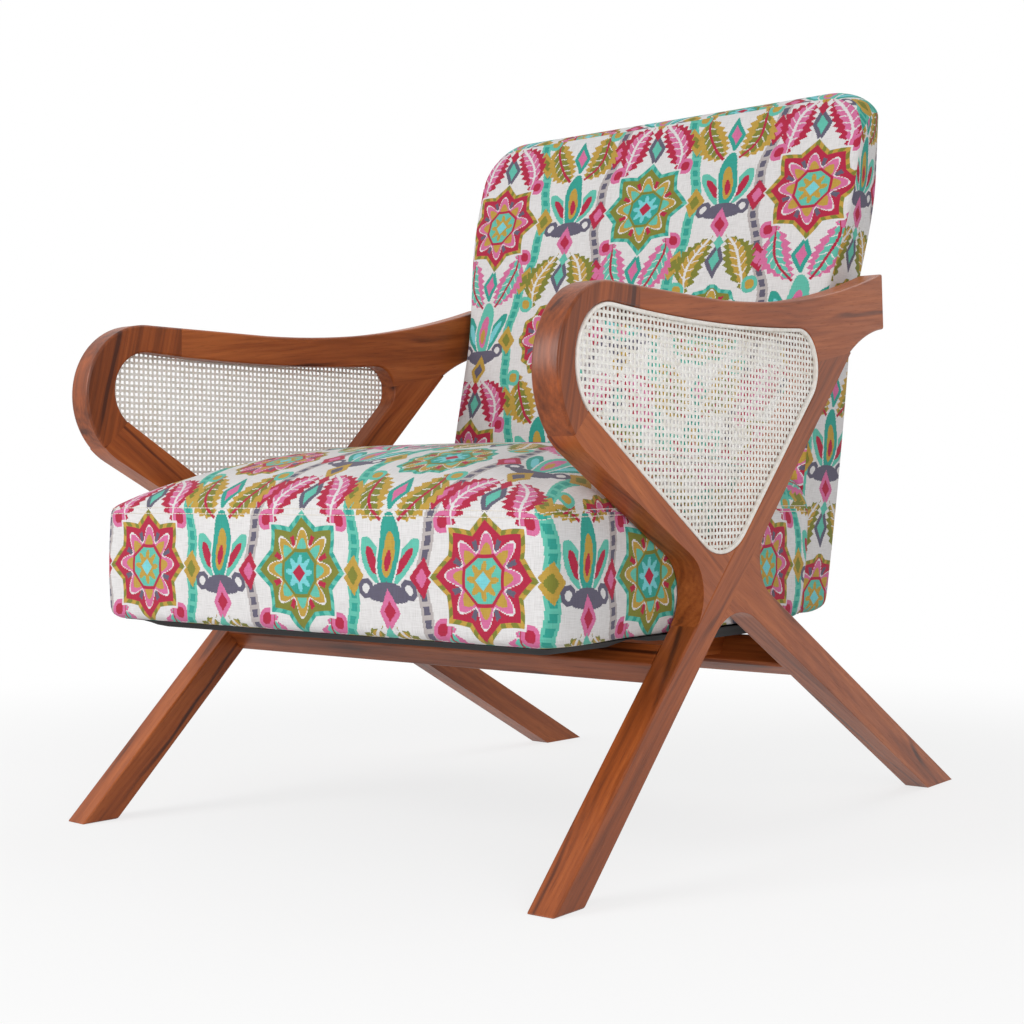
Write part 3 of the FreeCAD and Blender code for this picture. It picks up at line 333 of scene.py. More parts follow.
# studio: pale floor, white surround, three soft lamps
studio = {
    "surround": 0.36,
    "white": (1, 1, 1, 1),
    "chalk": (0.86, 0.86, 0.86, 1),
    "floorHalf": 6,
    "floorDrop": 0.0004,
    "floorGlow": 0.76,  # near the chair; further out the floor is as white as the surround
    "glowFrom": 0.6,
    "glowTo": 1.7,
    # place, aim, width and watts
    "lamps": (
        ("keyLamp", (-1.2, -2.9, 1.6), (0, -0.1, 0.40), 1.8, 62),
        ("sideLamp", (2.6, -1.8, 1.2), (0, 0, 0.4), 1.8, 34),
        ("topLamp", (0.3, 1.4, 2.4), (0, 0.2, 0.4), 2.0, 14),
    ),
}
for name, place, aim, size, power in studio["lamps"]:
    lamp = bpy.data.lights.new(name, "AREA")
    lamp.shape = "DISK"
    lamp.size = size
    lamp.energy = power
    holder = bpy.data.objects.new(name, lamp)
    scene.collection.objects.link(holder)
    holder.location = place
    holder.rotation_euler = (Vector(aim) - Vector(place)).to_track_quat("-Z", "Y").to_euler()


def seenRays(wire):
    # the camera's own rays, and those off gloss or through glass
    path = wire.node("ShaderNodeLightPath").socket.node.outputs
    kinds = ("Is Camera Ray", "Is Glossy Ray", "Is Transmission Ray")
    direct, glossy, clear = [Wire(wire.tree, path[kind]) for kind in kinds]
    return direct.most(glossy).most(clear)


world = bpy.data.worlds.new("surround")
scene.world = world
world.use_nodes = True
world.node_tree.nodes.clear()
wire = Wire(world.node_tree)
dimSky = wire.node("ShaderNodeBackground", None, {"Color": studio["white"], "Strength": studio["surround"]})
paleSky = wire.node("ShaderNodeBackground", None, {"Color": studio["white"], "Strength": 1.0})
sky = wire.node("ShaderNodeMixShader", None, {0: seenRays(wire), 1: dimSky, 2: paleSky})
wire.node("ShaderNodeOutputWorld", None, {"Surface": sky})

floorPaint, wire = startMaterial("paleFloor")
fade = objectPlace(wire).length()
fade = fade.between(studio["glowFrom"], studio["glowTo"], studio["floorGlow"], 1.0, "SMOOTHSTEP")
chalk = wire.node("ShaderNodeBsdfDiffuse", None, {"Color": studio["chalk"]})
glow = wire.node("ShaderNodeEmission", None, {"Color": studio["white"], "Strength": 1.0})
lit = wire.node("ShaderNodeMixShader", None, {0: fade * seenRays(wire), 1: chalk, 2: glow})
wire.node("ShaderNodeOutputMaterial", None, {"Surface": lit})
half = studio["floorHalf"]
corners = [(x * half, y * half, -studio["floorDrop"]) for x, y in ((-1, -1), (1, -1), (1, 1), (-1, 1))]
floorMesh = bpy.data.meshes.new("floor")
floorMesh.from_pydata(corners, [], [(0, 1, 2, 3)])
floor = addPiece("floor", floorMesh, floorPaint)
print("camera, floor and lamps set")

# teak
teak = {
    "light": linear("#b86530"),
    "middle": linear("#954a1f"),
    "dark": linear("#491f0c"),
    "middleAt": 0.45,
    "heartOff": 0.06,  # rings lie round a heart that leans and wanders along the log
    "heartLean": 0.05,
    "heartSway": (0.05, 0.03),
    "heartFlat": 1.2,
    "ringsPerMetre": 150,
    "veinsPerMetre": 34,
    "ringRipple": 5.0,
    "veinRipple": 0.45,
    "veinEdge": (0.02, 0.13),
    "veinPatch": (0.43, 0.62),  # veins show only in patches
    "poreCut": (0.60, 0.76),
    # noise per metre along, across and through the grain
    "swayScale": (2.6, 9, 9),
    "rippleScale": (8, 46, 46),
    "patchScale": (4, 24, 24),
    "fibreScale": (7, 300, 300),
    "streakScale": (3, 70, 70),
    "poreScale": (34, 1000, 1000),
    "blotchScale": (3, 12, 12),
    # how much each one darkens the wood
    "ground": 0.40,
    "growth": 0.05,
    "vein": 0.52,
    "fibre": 0.60,
    "streak": 0.80,
    "blotch": 0.65,
    "pore": 0.40,
    "roughness": 0.40,
    "fibreRough": 0.2,
    "poreRough": 0.12,
    # how much each one stands up or lies deep
    "fibreUp": 0.6,
    "poreDown": 0.8,
    "veinDown": 0.2,
    "relief": (0.2, 0.0005),
    "polish": {"Specular IOR Level": 0.32, "Coat Weight": 0.05, "Coat Roughness": 0.22},
    "edgeRadius": 0.0032,
    "edgeSteps": 3,
    "crease": math.radians(28),
    "glueGap": 0.0003,
    "logShift": (1, 0.37, 0.11),  # where in its log a piece was cut
    "leftLater": 0.83,
    "leftLighter": 0.03,
}


def teakFinish():
    material, wire = startMaterial("oiledTeak")
    grain = wire.node("ShaderNodeAttribute", {"attribute_name": "grain"}, out="Vector")
    tone = wire.node("ShaderNodeAttribute", {"attribute_name": "tone"}, out="Fac")
    along, across, thick = grain.parts()
    sway = grain.noise(teak["swayScale"]) - 0.5
    ripple = grain.noise(teak["rippleScale"]) - 0.5
    swayX, swayY = [sway * reach for reach in teak["heartSway"]]
    heart = thick * teak["heartFlat"] + along * teak["heartLean"] + swayY + teak["heartOff"]
    ring = wire.join(across + swayX, heart).length()
    growth = (ring * (teak["ringsPerMetre"] * 2 * math.pi) + ripple * teak["ringRipple"]).cos()
    vein = abs((ring * teak["veinsPerMetre"] + ripple * teak["veinRipple"]) % 1.0 - 0.5)
    vein = vein.between(*teak["veinEdge"], 1.0, 0.0, "SMOOTHSTEP")
    vein = vein * grain.noise(teak["patchScale"], 1.0).between(*teak["veinPatch"])
    fibre = grain.noise(teak["fibreScale"], 4.0, 0.62)
    streak = grain.noise(teak["streakScale"])
    pore = grain.noise(teak["poreScale"], 1.0).between(*teak["poreCut"])
    blotch = grain.noise(teak["blotchScale"])
    shade = teak["ground"] + growth * teak["growth"] + vein * teak["vein"] + (fibre - 0.5) * teak["fibre"]
    shade = shade + (streak - 0.5) * teak["streak"] + (blotch - 0.5) * teak["blotch"] - tone
    colour = wire.ramp(shade, (0.0, teak["light"]), (teak["middleAt"], teak["middle"]), (1.0, teak["dark"]))
    colour = wire.mix(pore * teak["pore"], colour, teak["dark"])
    rough = teak["roughness"] + (fibre - 0.5) * teak["fibreRough"] + pore * teak["poreRough"]
    height = fibre * teak["fibreUp"] - pore * teak["poreDown"] - vein * teak["veinDown"]
    normal = wire.bump(height, *teak["relief"])
    endMaterial(wire, colour, rough, normal, **teak["polish"])
    return material


# along the grain in the side frame's plane as (depth, height), lightness and a start along the log
timbers = {
    "front_leg": ((0.742, 0.670), -0.05, 0.31),
    "rear_leg": ((-0.879, 0.476), 0.05, 1.47),
    "front_stile": ((-0.82, 0.57), 0.10, 2.13),
    "arm_nose": ((0.22, 0.975), -0.22, 3.71),
    "arm_rail": ((0.99, 0.12), 0.04, 4.29),
    "bearer": ((1.0, 0.0), -0.06, 17.3),
}
# the two rails lie across the chair
rails = {
    "front_rail": (None, -0.06, 15.3),
    "rear_rail": (None, -0.06, 16.3),
}
cuts = {side + key: cut for side in ("right_", "left_") for key, cut in timbers.items()}
cuts.update(rails)
teakPaint = teakFinish()
woodSkins = {name: skinOf(nodes[name].data) for name in cuts}


def easeEdges(name):
    # free arrises get a round; edges along a glue line stay crisp
    others = [skin for key, skin in woodSkins.items() if key != name]

    def isFree(spot):
        return all(skin.find_nearest(spot, teak["glueGap"])[0] is None for skin in others)

    piece = addPiece(name + "_teak", mergedCopy(name), teakPaint)
    rounder = roundEdges(piece, teak["edgeRadius"], teak["edgeSteps"], teak["crease"], isFree)
    rounder.miter_outer = "MITER_ARC"
    flatten = piece.modifiers.new("flatFaces", "WEIGHTED_NORMAL")
    flatten.keep_sharp = True
    settle(piece)
    return piece


def addPointData(mesh, name, kind, key, values):
    layer = mesh.attributes.new(name, kind, "POINT")
    layer.data.foreach_set(key, values.reshape(-1).astype(np.float32))


def markGrain(mesh, direction, lightness, start):
    x, y, z = points(mesh).T
    if direction is None:
        along, across, thick = x, z, y
    else:
        dy, dz = direction
        along, across, thick = y * dy + z * dz, z * dy - y * dz, x
    grain = np.stack([along, across, thick], 1) + start * np.array(teak["logShift"])
    addPointData(mesh, "grain", "FLOAT_VECTOR", "vector", grain)
    addPointData(mesh, "tone", "FLOAT", "value", np.full(len(x), lightness))


for name, (direction, lightness, start) in cuts.items():
    if name.startswith("left_"):
        start += teak["leftLater"]
        lightness += teak["leftLighter"]
    piece = easeEdges(name)
    markGrain(piece.data, direction, lightness, start)
    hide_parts(name)
    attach(piece, "root")
print("teak pieces rounded and grained")

# woven cane
cane = {
    "pitch": 0.0067,
    "strand": 0.0030,
    "strandThick": 0.0006,
    "wave": 0.00040,
    "waver": 0.0005,
    "waverScale": 38.0,
    "reach": 0.62,  # crossings up to this share of a pitch outside the panel are kept
    "margin": 0.012,
    "rayHeight": 0.02,
    "streakScale": 160,
    "streakShare": 0.65,
    "patchScale": 26,
    "patchShare": 0.35,
    "warmAt": 0.28,
    "paleAt": 0.56,
    "fibreScale": 900,
    "relief": (0.15, 0.0003),
    "streakRough": 0.25,
    "beadRound": 0.0017,
    "beadSteps": 4,
    "beadCrease": math.radians(50),
    "beadFace": 0.0015,  # edges of the bead further out than this are rounded
}


def caneFinish(name, pale, warm, roughness):
    material, wire = startMaterial(name)
    place = objectPlace(wire)
    streak = place.noise(cane["streakScale"])
    patch = place.noise(cane["patchScale"])
    shade = streak * cane["streakShare"] + patch * cane["patchShare"]
    colour = wire.ramp(shade, (cane["warmAt"], warm), (cane["paleAt"], pale))
    normal = wire.bump(place.noise(cane["fibreScale"], 1.0), *cane["relief"])
    endMaterial(wire, colour, roughness + (streak - 0.5) * cane["streakRough"], normal)
    return material


canePaint = caneFinish("bleachedCane", linear("#f3f1ec"), linear("#e0dacd"), 0.5)
reedPaint = caneFinish("paleReed", linear("#f0ece6"), linear("#e0d7ca"), 0.48)


def startTree(name, sizes):
    tree = bpy.data.node_groups.new(name, "GeometryNodeTree")
    tree.interface.new_socket("Geometry", in_out="INPUT", socket_type="NodeSocketGeometry")
    for key in sizes:
        tree.interface.new_socket(key, in_out="INPUT", socket_type="NodeSocketFloat")
    tree.interface.new_socket("Geometry", in_out="OUTPUT", socket_type="NodeSocketGeometry")
    entry = Wire(tree).node("NodeGroupInput").socket.node
    return tree, {one.name: Wire(tree, one) for one in entry.outputs if one.name}


def useTree(piece, tree, sizes):
    grower = piece.modifiers.new(tree.name, "NODES")
    grower.node_group = tree
    for item in tree.interface.items_tree:
        if item.in_out == "INPUT" and item.name in sizes:
            grower[item.identifier] = sizes[item.name]
    return settle(piece)


def endTree(wire, geometry, material):
    real = wire.node("GeometryNodeRealizeInstances", None, {0: geometry})
    painted = wire.node("GeometryNodeSetMaterial", None, {"Geometry": real, "Material": material})
    wire.node("NodeGroupOutput", None, {0: painted})


def weaveTree(material):
    sizes = ("pitch", "strand", "strandThick", "wave", "waver", "wide", "tall")
    tree, given = startTree("caneWeave", sizes)
    wire = given["Geometry"]
    pitch = given["pitch"]
    across = (given["wide"] / pitch).floor()
    up = (given["tall"] / pitch).floor()
    grid = wire.node("GeometryNodeMeshGrid", None, {
        "Size X": across * pitch, "Size Y": up * pitch, "Vertices X": across + 1, "Vertices Y": up + 1})
    here = wire.node("GeometryNodeInputPosition")
    x, y, z = here.parts()
    near = wire.node("GeometryNodeProximity", {"target_element": "FACES"},
                     {"Geometry": given["Geometry"], "Sample Position": here}, out="Distance")
    inside = near < pitch * cane["reach"]
    column = (x / pitch + across * 0.5 + 0.25).floor()
    row = (y / pitch + up * 0.5 + 0.25).floor()
    odd = (column + row) % 2
    # one crossing: a strand that humps over and one that dips under it
    box = wire.node("GeometryNodeMeshCube", None, {
        "Size": wire.join(pitch, given["strand"], given["strandThick"]),
        "Vertices X": 4, "Vertices Y": 2, "Vertices Z": 2})
    lift = (x / pitch * math.pi).cos() * given["wave"]
    over, under = [
        wire.node("GeometryNodeSetPosition", None, {"Geometry": box, "Offset": wire.join(0.0, 0.0, way)})
        for way in (lift, -lift)]
    under = wire.node("GeometryNodeTransform", None, {"Geometry": under, "Rotation": (0, 0, math.pi / 2)})
    crossing = wire.node("GeometryNodeJoinGeometry", None, {0: [over, under]})
    cells = wire.node("GeometryNodeInstanceOnPoints", None, {
        "Points": grid, "Selection": inside, "Instance": crossing,
        "Rotation": wire.join(0.0, 0.0, odd * (math.pi / 2))})
    real = wire.node("GeometryNodeRealizeInstances", None, {0: cells})
    # strands waver in the panel's plane
    drift = wire.node("ShaderNodeTexNoise", None,
                      {"Vector": here, "Scale": cane["waverScale"], "Detail": 1.0}, out="Color")
    drift = drift.shift((-0.5, -0.5, -0.5)).stretch(1, 1, 0)
    drift = wire.node("ShaderNodeVectorMath", {"operation": "SCALE"},
                      {0: drift, "Scale": given["waver"] * 2})
    real = wire.node("GeometryNodeSetPosition", None, {"Geometry": real, "Offset": drift})
    # strand ends that pass the panel's edge are drawn back to it
    ray = {"Target Geometry": given["Geometry"], "Source Position": here.shift((0, 0, cane["rayHeight"])),
           "Ray Direction": (0, 0, -1), "Ray Length": cane["rayHeight"] * 2}
    hit = wire.node("GeometryNodeRaycast", None, ray)
    rim = wire.node("GeometryNodeProximity", {"target_element": "EDGES"},
                    {"Geometry": given["Geometry"], "Sample Position": here}).parts()
    real = wire.node("GeometryNodeSetPosition", None, {
        "Geometry": real, "Selection": 1 - hit, "Position": wire.join(rim[0], rim[1], z)})
    endTree(wire, real, material)
    return tree


weave = weaveTree(canePaint)
for side, sign in (("right_", 1), ("left_", -1)):
    panel = mergedCopy(side + "cane_panel")
    low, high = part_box(side + "cane_panel")
    # panel laid flat: x runs back, y up, z out of the chair
    back = Vector((-sign * math.sin(shared["toeIn"]), math.cos(shared["toeIn"]), 0))
    out = Vector((sign * math.cos(shared["toeIn"]), math.sin(shared["toeIn"]), 0))
    middle = (low + high) / 2
    turn = Matrix((back, (0, 0, 1), out)).transposed().to_4x4()
    lay = Matrix.Translation(middle) @ turn
    panel.transform(lay.inverted())
    wide, tall, _ = np.ptp(points(panel), axis=0) + cane["margin"]
    piece = addPiece(side + "cane_weave", panel, canePaint)
    mesh = useTree(piece, weave, dict(cane, wide=float(wide), tall=float(tall)))
    mesh.transform(lay)
    if lay.determinant() < 0:
        mesh.flip_normals()
    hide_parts(side + "cane_panel")
    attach(piece, "root")
    print(side + "cane woven,", len(mesh.polygons), "faces")

    def isOuter(spot):
        return (spot - middle).dot(out) > cane["beadFace"]

    bead = addPiece(side + "cane_bead", mergedCopy(side + "cane_spline"), reedPaint)
    roundEdges(bead, cane["beadRound"], cane["beadSteps"], cane["beadCrease"], isOuter)
    settle(bead)
    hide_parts(side + "cane_spline")
    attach(bead, "root")
print("cane panels and beads made")

# printed linen: stars and roundels in a wavy trellis, tulips and toothed leaves between;
# sizes in centimetres before the scale, two colours for what changes from one to the next
printed = {
    "wide": 20.0,  # from one medallion to the next across
    "tall": 14.0,  # from one row up to the next
    "step": 0.10,  # one stitch of the stepped outlines
    "scale": 1.22,
    "rise": 29.4,  # height of the first row of stars
    "handSway": 0.16,  # drawn by hand
    "handWaves": (1.15, 0.95),
    "ground": linear("#dbd9d9"),
    "olive": linear("#7b7d30"),
    "mustard": linear("#b9963f"),
    "crimson": linear("#ad2140"),
    "pink": linear("#cf6b98"),
    "aqua": linear("#5fb9a6"),
    "teal": linear("#2f9a8c"),
    "violet": linear("#5e5a6c"),
    "taupe": linear("#b3abaa"),
    "sky": linear("#76c9cf"),
    "ribbon": {
        "off": 5.0,
        "sway": 1.25,
        "half": 0.46,
        "rim": 0.16,
        "inset": 0.14,
        "dashes": 0.9,
        "gap": 0.32,
        "budUp": 3.5,
        "budFlat": 0.75,
        "buds": ((1.25, "crimson", "mustard"), (0.62, "pink", "olive")),
    },
    "leaf": {
        "off": 2.55,
        "turn": 24,
        "curl": 0.085,
        "curlOff": 0.42,
        "taper": 0.088,
        "half": 1.95,
        "teeth": 1.3,
        "teethLean": 0.55,
        "teethDeep": 0.95,
        "innerTeeth": 0.5,
        "veins": 1.1,
        "veinLean": 0.75,
        "veinHalf": 0.075,
        "veinReach": 0.9,
        "veinEnd": 0.2,
        "ribHalf": 0.15,
        "ribEnd": 0.12,
        "budFlat": 0.55,
        "buds": ((1.15, "violet", "teal"), (0.62, "aqua", "pink")),
    },
    "flower": {
        "off": (4.35, 4.25),
        "half": 0.95,
        "rings": ((1.0, "pink", "aqua"), (0.30, "crimson", "mustard")),
    },
    "tulip": {
        "sideOff": (1.75, 1.15),
        "sideTurn": -32,
        "sidePetals": ((0.85, 2.35, "aqua", "teal"), (0.40, 1.45, "crimson", "sky")),
        # height of the middle, half width and half height
        "cups": (
            (1.9, 1.33, 3.3, "ground", "ground"),
            (1.9, 1.15, 3.1, "teal", "aqua"),
            (1.5, 0.62, 1.9, "mustard", "pink"),
            (1.0, 0.34, 0.85, "crimson", "mustard"),
            (-1.55, 2.3, 0.85, "violet", "violet"),
        ),
        "curlOff": (2.35, -1.05),
        "curlHalf": 0.85,
        "curlHole": 0.22,
        # height of the middle, slopes across and up, size
        "lozenges": (
            (-3.1, 1.0, 0.62, 1.15, "pink", "mustard"),
            (-3.1, 1.3, 1.0, 0.85, "crimson", "violet"),
            (-5.1, 1.0, 0.75, 0.62, "aqua", "crimson"),
        ),
    },
    "medallion": {
        "diagonal": 0.7071,
        "star": 1.12,
        "lobes": 12.0,
        "lobeDeep": 0.20,
        "petals": 8.0,
        "checks": 28.0,
        "rim": 4.4,
        "border": 4.2,
        "field": 3.75,
        "dartCut": -0.80,
        "dartEnd": 3.35,
        # size and reach of the petals
        "rings": (
            (3.12, 0.74, "ground", "ground"),
            (2.96, 0.72, "mustard", "pink"),
            (2.45, 0.52, "aqua", "mustard"),
        ),
        "octagons": ((2.05, "olive", "crimson"), (1.72, "teal", "aqua")),
        "heart": (1.22, 0.34, "sky", "mustard"),
        "eye": 0.52,
    },
    "slub": (60, 1500, 1),
    "slubAcross": (1500, 60, 1),
    "slubShade": (0.80, 0.79, 0.78),
    "slubFrom": 0.36,
    "slubTo": 0.58,
    "slubDeep": 0.0008,
    "rippleScale": 14,
    "rippleDeep": 0.004,
    "relief": 0.55,
    "roughness": 0.78,
    "slubRough": 0.3,
    "sheen": {"Specular IOR Level": 0.25, "Sheen Weight": 0.08},
}


def printedCloth():
    material, wire = startMaterial("printedLinen")
    uv = wire.node("ShaderNodeUVMap", {"uv_map": "print"})
    flatX, flatY, _ = uv.stretch(100, 100, 100).shift((0, -printed["rise"], 0)).parts()  # centimetres
    flatX, flatY = flatX / printed["scale"], flatY / printed["scale"]
    step, sway = printed["step"], printed["handSway"]
    waveX, waveY = printed["handWaves"]
    gridX = ((flatX + (flatY * waveX).cos() * sway) / step).floor() * step
    gridY = ((flatY + (flatX * waveY).cos() * sway) / step).floor() * step
    wide, tall = printed["wide"], printed["tall"]
    layers = [printed["ground"]]

    def paint(mask, key):
        layers.append(wire.mix(mask, layers[-1], printed[key] if isinstance(key, str) else key))

    def choose(share, one, two):
        return wire.mix(share, printed[one], printed[two])

    def oval(x, y, halfX, halfY):
        return (x / halfX) * (x / halfX) + (y / halfY) * (y / halfY)

    def turned(x, y, degrees):
        c, s = math.cos(math.radians(degrees)), math.sin(math.radians(degrees))
        return x * c + y * s, y * c - x * s

    # rows of medallions, every other one set over by half a width
    row = (gridY / tall + 0.5).floor()
    odd = row % 2
    y = gridY - row * tall
    x = (gridX + odd * (wide / 2) + wide / 2) % wide - wide / 2
    tulipX = abs((gridX + odd * (wide / 2)) % wide - wide / 2)
    ax, ay = abs(x), abs(y)

    # two wavy ribbons frame each medallion
    size = printed["ribbon"]
    column = (gridX + wide / 2) % wide - wide / 2
    wave = (gridY * (math.pi / tall)).cos() * size["sway"]
    ribbon = abs(abs(column) - size["off"] - wave)
    hand = column > 0.0
    paint(ribbon < size["half"] + size["rim"], choose(hand, "taupe", "aqua"))
    dash = (gridY * size["dashes"]) % 1.0 > size["gap"]
    paint((ribbon < size["half"] - size["inset"]) * dash, choose(hand, "violet", "teal"))
    bud = ribbon + abs((gridY + size["budUp"]) % (tall / 2) - tall / 4) * size["budFlat"]
    for reach, one, two in size["buds"]:
        paint(bud < reach, choose(hand, one, two))

    # toothed leaves in pairs over and under each medallion, with a bud between
    size = printed["leaf"]
    band = (gridY / tall).floor()
    half = (gridX / (wide / 2) + 0.5).floor()
    under = (half + band) % 2
    budX = abs(gridX - half * (wide / 2))
    leafY = (gridY - band * tall - tall / 2) * (1 - under * 2)
    over, along = turned(budX - size["off"], leafY, size["turn"])
    over = abs(over + along * along * size["curl"] - size["curlOff"])
    body = 1 - along * along * size["taper"]
    tooth = (along * size["teeth"] - over * size["teethLean"]).triangle(0.5)
    leaf = over - body * size["half"] + tooth * size["teethDeep"]
    bandOdd = band % 2
    outer = wire.mix(bandOdd, choose(under, "crimson", "mustard"), choose(under, "olive", "pink"))
    inner = wire.mix(bandOdd, choose(under, "pink", "olive"), choose(under, "mustard", "aqua"))
    paint((leaf < 0.0) * (body > 0.0), outer)
    paint(over < body - tooth * size["innerTeeth"], inner)
    vein = (along * size["veins"] - over * size["veinLean"]).triangle(0.5) < size["veinHalf"]
    paint(vein * (over < body * size["veinReach"]) * (body > size["veinEnd"]), "ground")
    paint((over < size["ribHalf"]) * (body > size["ribEnd"]), choose(under, "ground", "crimson"))
    bud = budX + abs(leafY) * size["budFlat"]
    for reach, one, two in size["buds"]:
        paint(bud < reach, choose(under, one, two))

    # small flowers in the corners round each medallion
    size = printed["flower"]
    flower = oval(ax - size["off"][0], ay - size["off"][1], size["half"], size["half"])
    for reach, one, two in size["rings"]:
        paint(flower < reach, choose(odd, one, two))

    # tulips between the medallions
    size = printed["tulip"]
    sideX, sideY = turned(tulipX - size["sideOff"][0], y - size["sideOff"][1], size["sideTurn"])
    for halfX, halfY, one, two in size["sidePetals"]:
        paint(oval(sideX, sideY, halfX, halfY) < 1.0, choose(odd, one, two))
    for up, halfX, halfY, one, two in size["cups"]:
        paint(oval(tulipX, y - up, halfX, halfY) < 1.0, choose(odd, one, two))
    curl = oval(tulipX - size["curlOff"][0], y - size["curlOff"][1], size["curlHalf"], size["curlHalf"])
    paint((curl < 1.0) * (curl > size["curlHole"]), "violet")
    for up, slopeX, slopeY, reach, one, two in size["lozenges"]:
        paint(tulipX * slopeX + abs(y - up) * slopeY < reach, choose(odd, one, two))

    # medallions: eight-pointed stars on even rows, lobed roundels on odd ones
    size = printed["medallion"]
    square = ax.most(ay)
    slant = (ax + ay) * size["diagonal"]
    star = square.least(slant) * size["star"]
    octagon = square.most(slant)
    radius = wire.join(x, y).length()
    angle = wire.sum("ARCTAN2", y, x)
    lobes = (angle * size["lobes"]).cos() * size["lobeDeep"]
    petals = (angle * size["petals"]).cos()
    check = (angle * size["checks"]).cos() > 0.0
    tone = (odd + ((gridX + odd * (wide / 2)) / wide + 0.5).floor()) % 2
    edge = star + odd * (radius - lobes - star)
    paint(edge < size["rim"], "ground")
    border = wire.mix(check, choose(tone, "teal", "mustard"), choose(tone, "aqua", "olive"))
    paint(edge < size["border"], border)
    paint(edge < size["field"], choose(tone, "olive", "crimson"))
    paint((petals < size["dartCut"]) * (edge < size["dartEnd"]), choose(tone, "crimson", "violet"))
    for reach, swing, one, two in size["rings"]:
        paint(radius < reach + petals * swing, choose(tone, one, two))
    for reach, one, two in size["octagons"]:
        paint(octagon < reach, choose(tone, one, two))
    reach, swing, one, two = size["heart"]
    paint(radius < reach + petals * swing, choose(tone, one, two))
    paint(slant < size["eye"], choose(tone, "crimson", "sky"))

    # linen threads
    threads = uv.noise(printed["slub"]) * 0.5 + uv.noise(printed["slubAcross"]) * 0.5
    stops = ((printed["slubFrom"], printed["slubShade"]), (printed["slubTo"], (1.0, 1.0, 1.0)))
    shade = wire.ramp(threads, *stops)
    colour = wire.mix(1.0, layers[-1], shade, "MULTIPLY")
    ripple = objectPlace(wire).noise(printed["rippleScale"], 1.0)
    height = threads * printed["slubDeep"] + ripple * printed["rippleDeep"]
    normal = wire.bump(height, printed["relief"], 1.0)
    rough = printed["roughness"] + (threads - 0.5) * printed["slubRough"]
    endMaterial(wire, colour, rough, normal, **printed["sheen"])
    return material


linenPaint = printedCloth()
print("printed linen mixed")


def spread(count):
    # places across a width, closer together near both ends
    even, crowded = 0.62, 0.38
    place = np.linspace(-1, 1, count)
    return even * place + crowded * np.sin(place * math.pi / 2)


def boxMesh(name, shape, place, flat):
    # six grids of a soft box share their edges; place gives each lattice point, flat its spot on the cloth
    across, deep, tall = shape["across"], shape["deep"], shape["tall"]
    index, spots, faces, cloth = {}, [], [], []

    def corner(i, j, k):
        if (i, j, k) not in index:
            index[i, j, k] = len(spots)
            spots.append(place(i, j, k))
        return index[i, j, k]

    def panel(side, steps, cell):
        for a in range(steps[0]):
            for b in range(steps[1]):
                ring = [cell(a, b), cell(a + 1, b), cell(a + 1, b + 1), cell(a, b + 1)]
                faces.append([corner(*one) for one in ring])
                cloth.extend(flat(side, *one) for one in ring)

    panel("bottom", (deep, across), lambda a, b: (b, a, 0))
    panel("top", (across, deep), lambda a, b: (a, b, tall))
    panel("front", (across, tall), lambda a, b: (a, 0, b))
    panel("rear", (tall, across), lambda a, b: (b, deep, a))
    panel("left", (tall, deep), lambda a, b: (0, b, a))
    panel("right", (deep, tall), lambda a, b: (across, a, b))
    mesh = bpy.data.meshes.new(name)
    mesh.from_pydata(spots, [], faces)
    layer = mesh.uv_layers.new(name="print")
    layer.data.foreach_set("uv", np.array(cloth, np.float32).reshape(-1))
    mesh.shade_smooth()
    return mesh, index


def smooth(low, high, value):
    share = np.clip((value - low) / (high - low), 0, 1)
    return share * share * (3 - 2 * share)


def quarter(share):
    # from 0 to 1 along a quarter circle, slow first
    return 1 - math.sqrt(1 - share ** 2)


def pastShare(value, start):
    # how much of the way from start to 1
    return np.clip((value - start) / (1 - start), 0, 1)


def rollUnder(shape, z):
    # how far the cover has drawn in where it turns under at the bottom
    rise = min((z - shape["low"]) / shape["roll"], 1)
    return shape["roll"] * shape["rollIn"] * quarter(1 - rise)


def innerFace(depth):
    return shared["innerHalf"] - depth * shared["toeSlope"]


# the cover while air swells it
coverCloth = {
    "frames": 20,
    "quality": 6,
    "mass": 0.35,
    "stretch": 40,
    "shear": 15,
    "bend": 4,
}


def puff(piece, held, soft):
    # air pushes the cover out between its seams; no point moves further than the cap
    start = points(piece.data)
    group = piece.vertex_groups.new(name="held")
    group.add([int(one) for one in held], 1.0, "REPLACE")
    cloth = piece.modifiers.new("puff", "CLOTH")
    cloth.settings.quality = coverCloth["quality"]
    cloth.settings.mass = coverCloth["mass"]
    cloth.settings.tension_stiffness = coverCloth["stretch"]
    cloth.settings.compression_stiffness = coverCloth["stretch"]
    cloth.settings.shear_stiffness = coverCloth["shear"]
    cloth.settings.bending_stiffness = coverCloth["bend"]
    cloth.settings.use_pressure = True
    cloth.settings.uniform_pressure_force = soft["force"]
    cloth.settings.vertex_group_mass = "held"
    cloth.settings.effector_weights.gravity = 0
    cloth.collision_settings.use_collision = False
    cloth.point_cache.frame_start = 1
    cloth.point_cache.frame_end = coverCloth["frames"]
    for step in range(1, coverCloth["frames"] + 1):
        scene.frame_set(step)
    graph = bpy.context.evaluated_depsgraph_get()
    swollen = points(piece.evaluated_get(graph).data)
    piece.modifiers.clear()
    scene.frame_set(1)
    move = swollen - start
    length = np.linalg.norm(move, axis=1, keepdims=True)
    print("puffed", piece.name, "by up to", round(float(length.max()) * 1000, 1), "mm")
    move *= np.minimum(1, soft["cap"] / np.maximum(length, 1e-9)) * soft["ease"]
    return start + move


def finishCushion(piece, replaced):
    rounder = piece.modifiers.new("soft", "SUBSURF")
    rounder.levels = 1
    rounder.render_levels = 1
    mesh = settle(piece)
    mesh.shade_smooth()
    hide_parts(*replaced)
    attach(piece, "root")
    return mesh


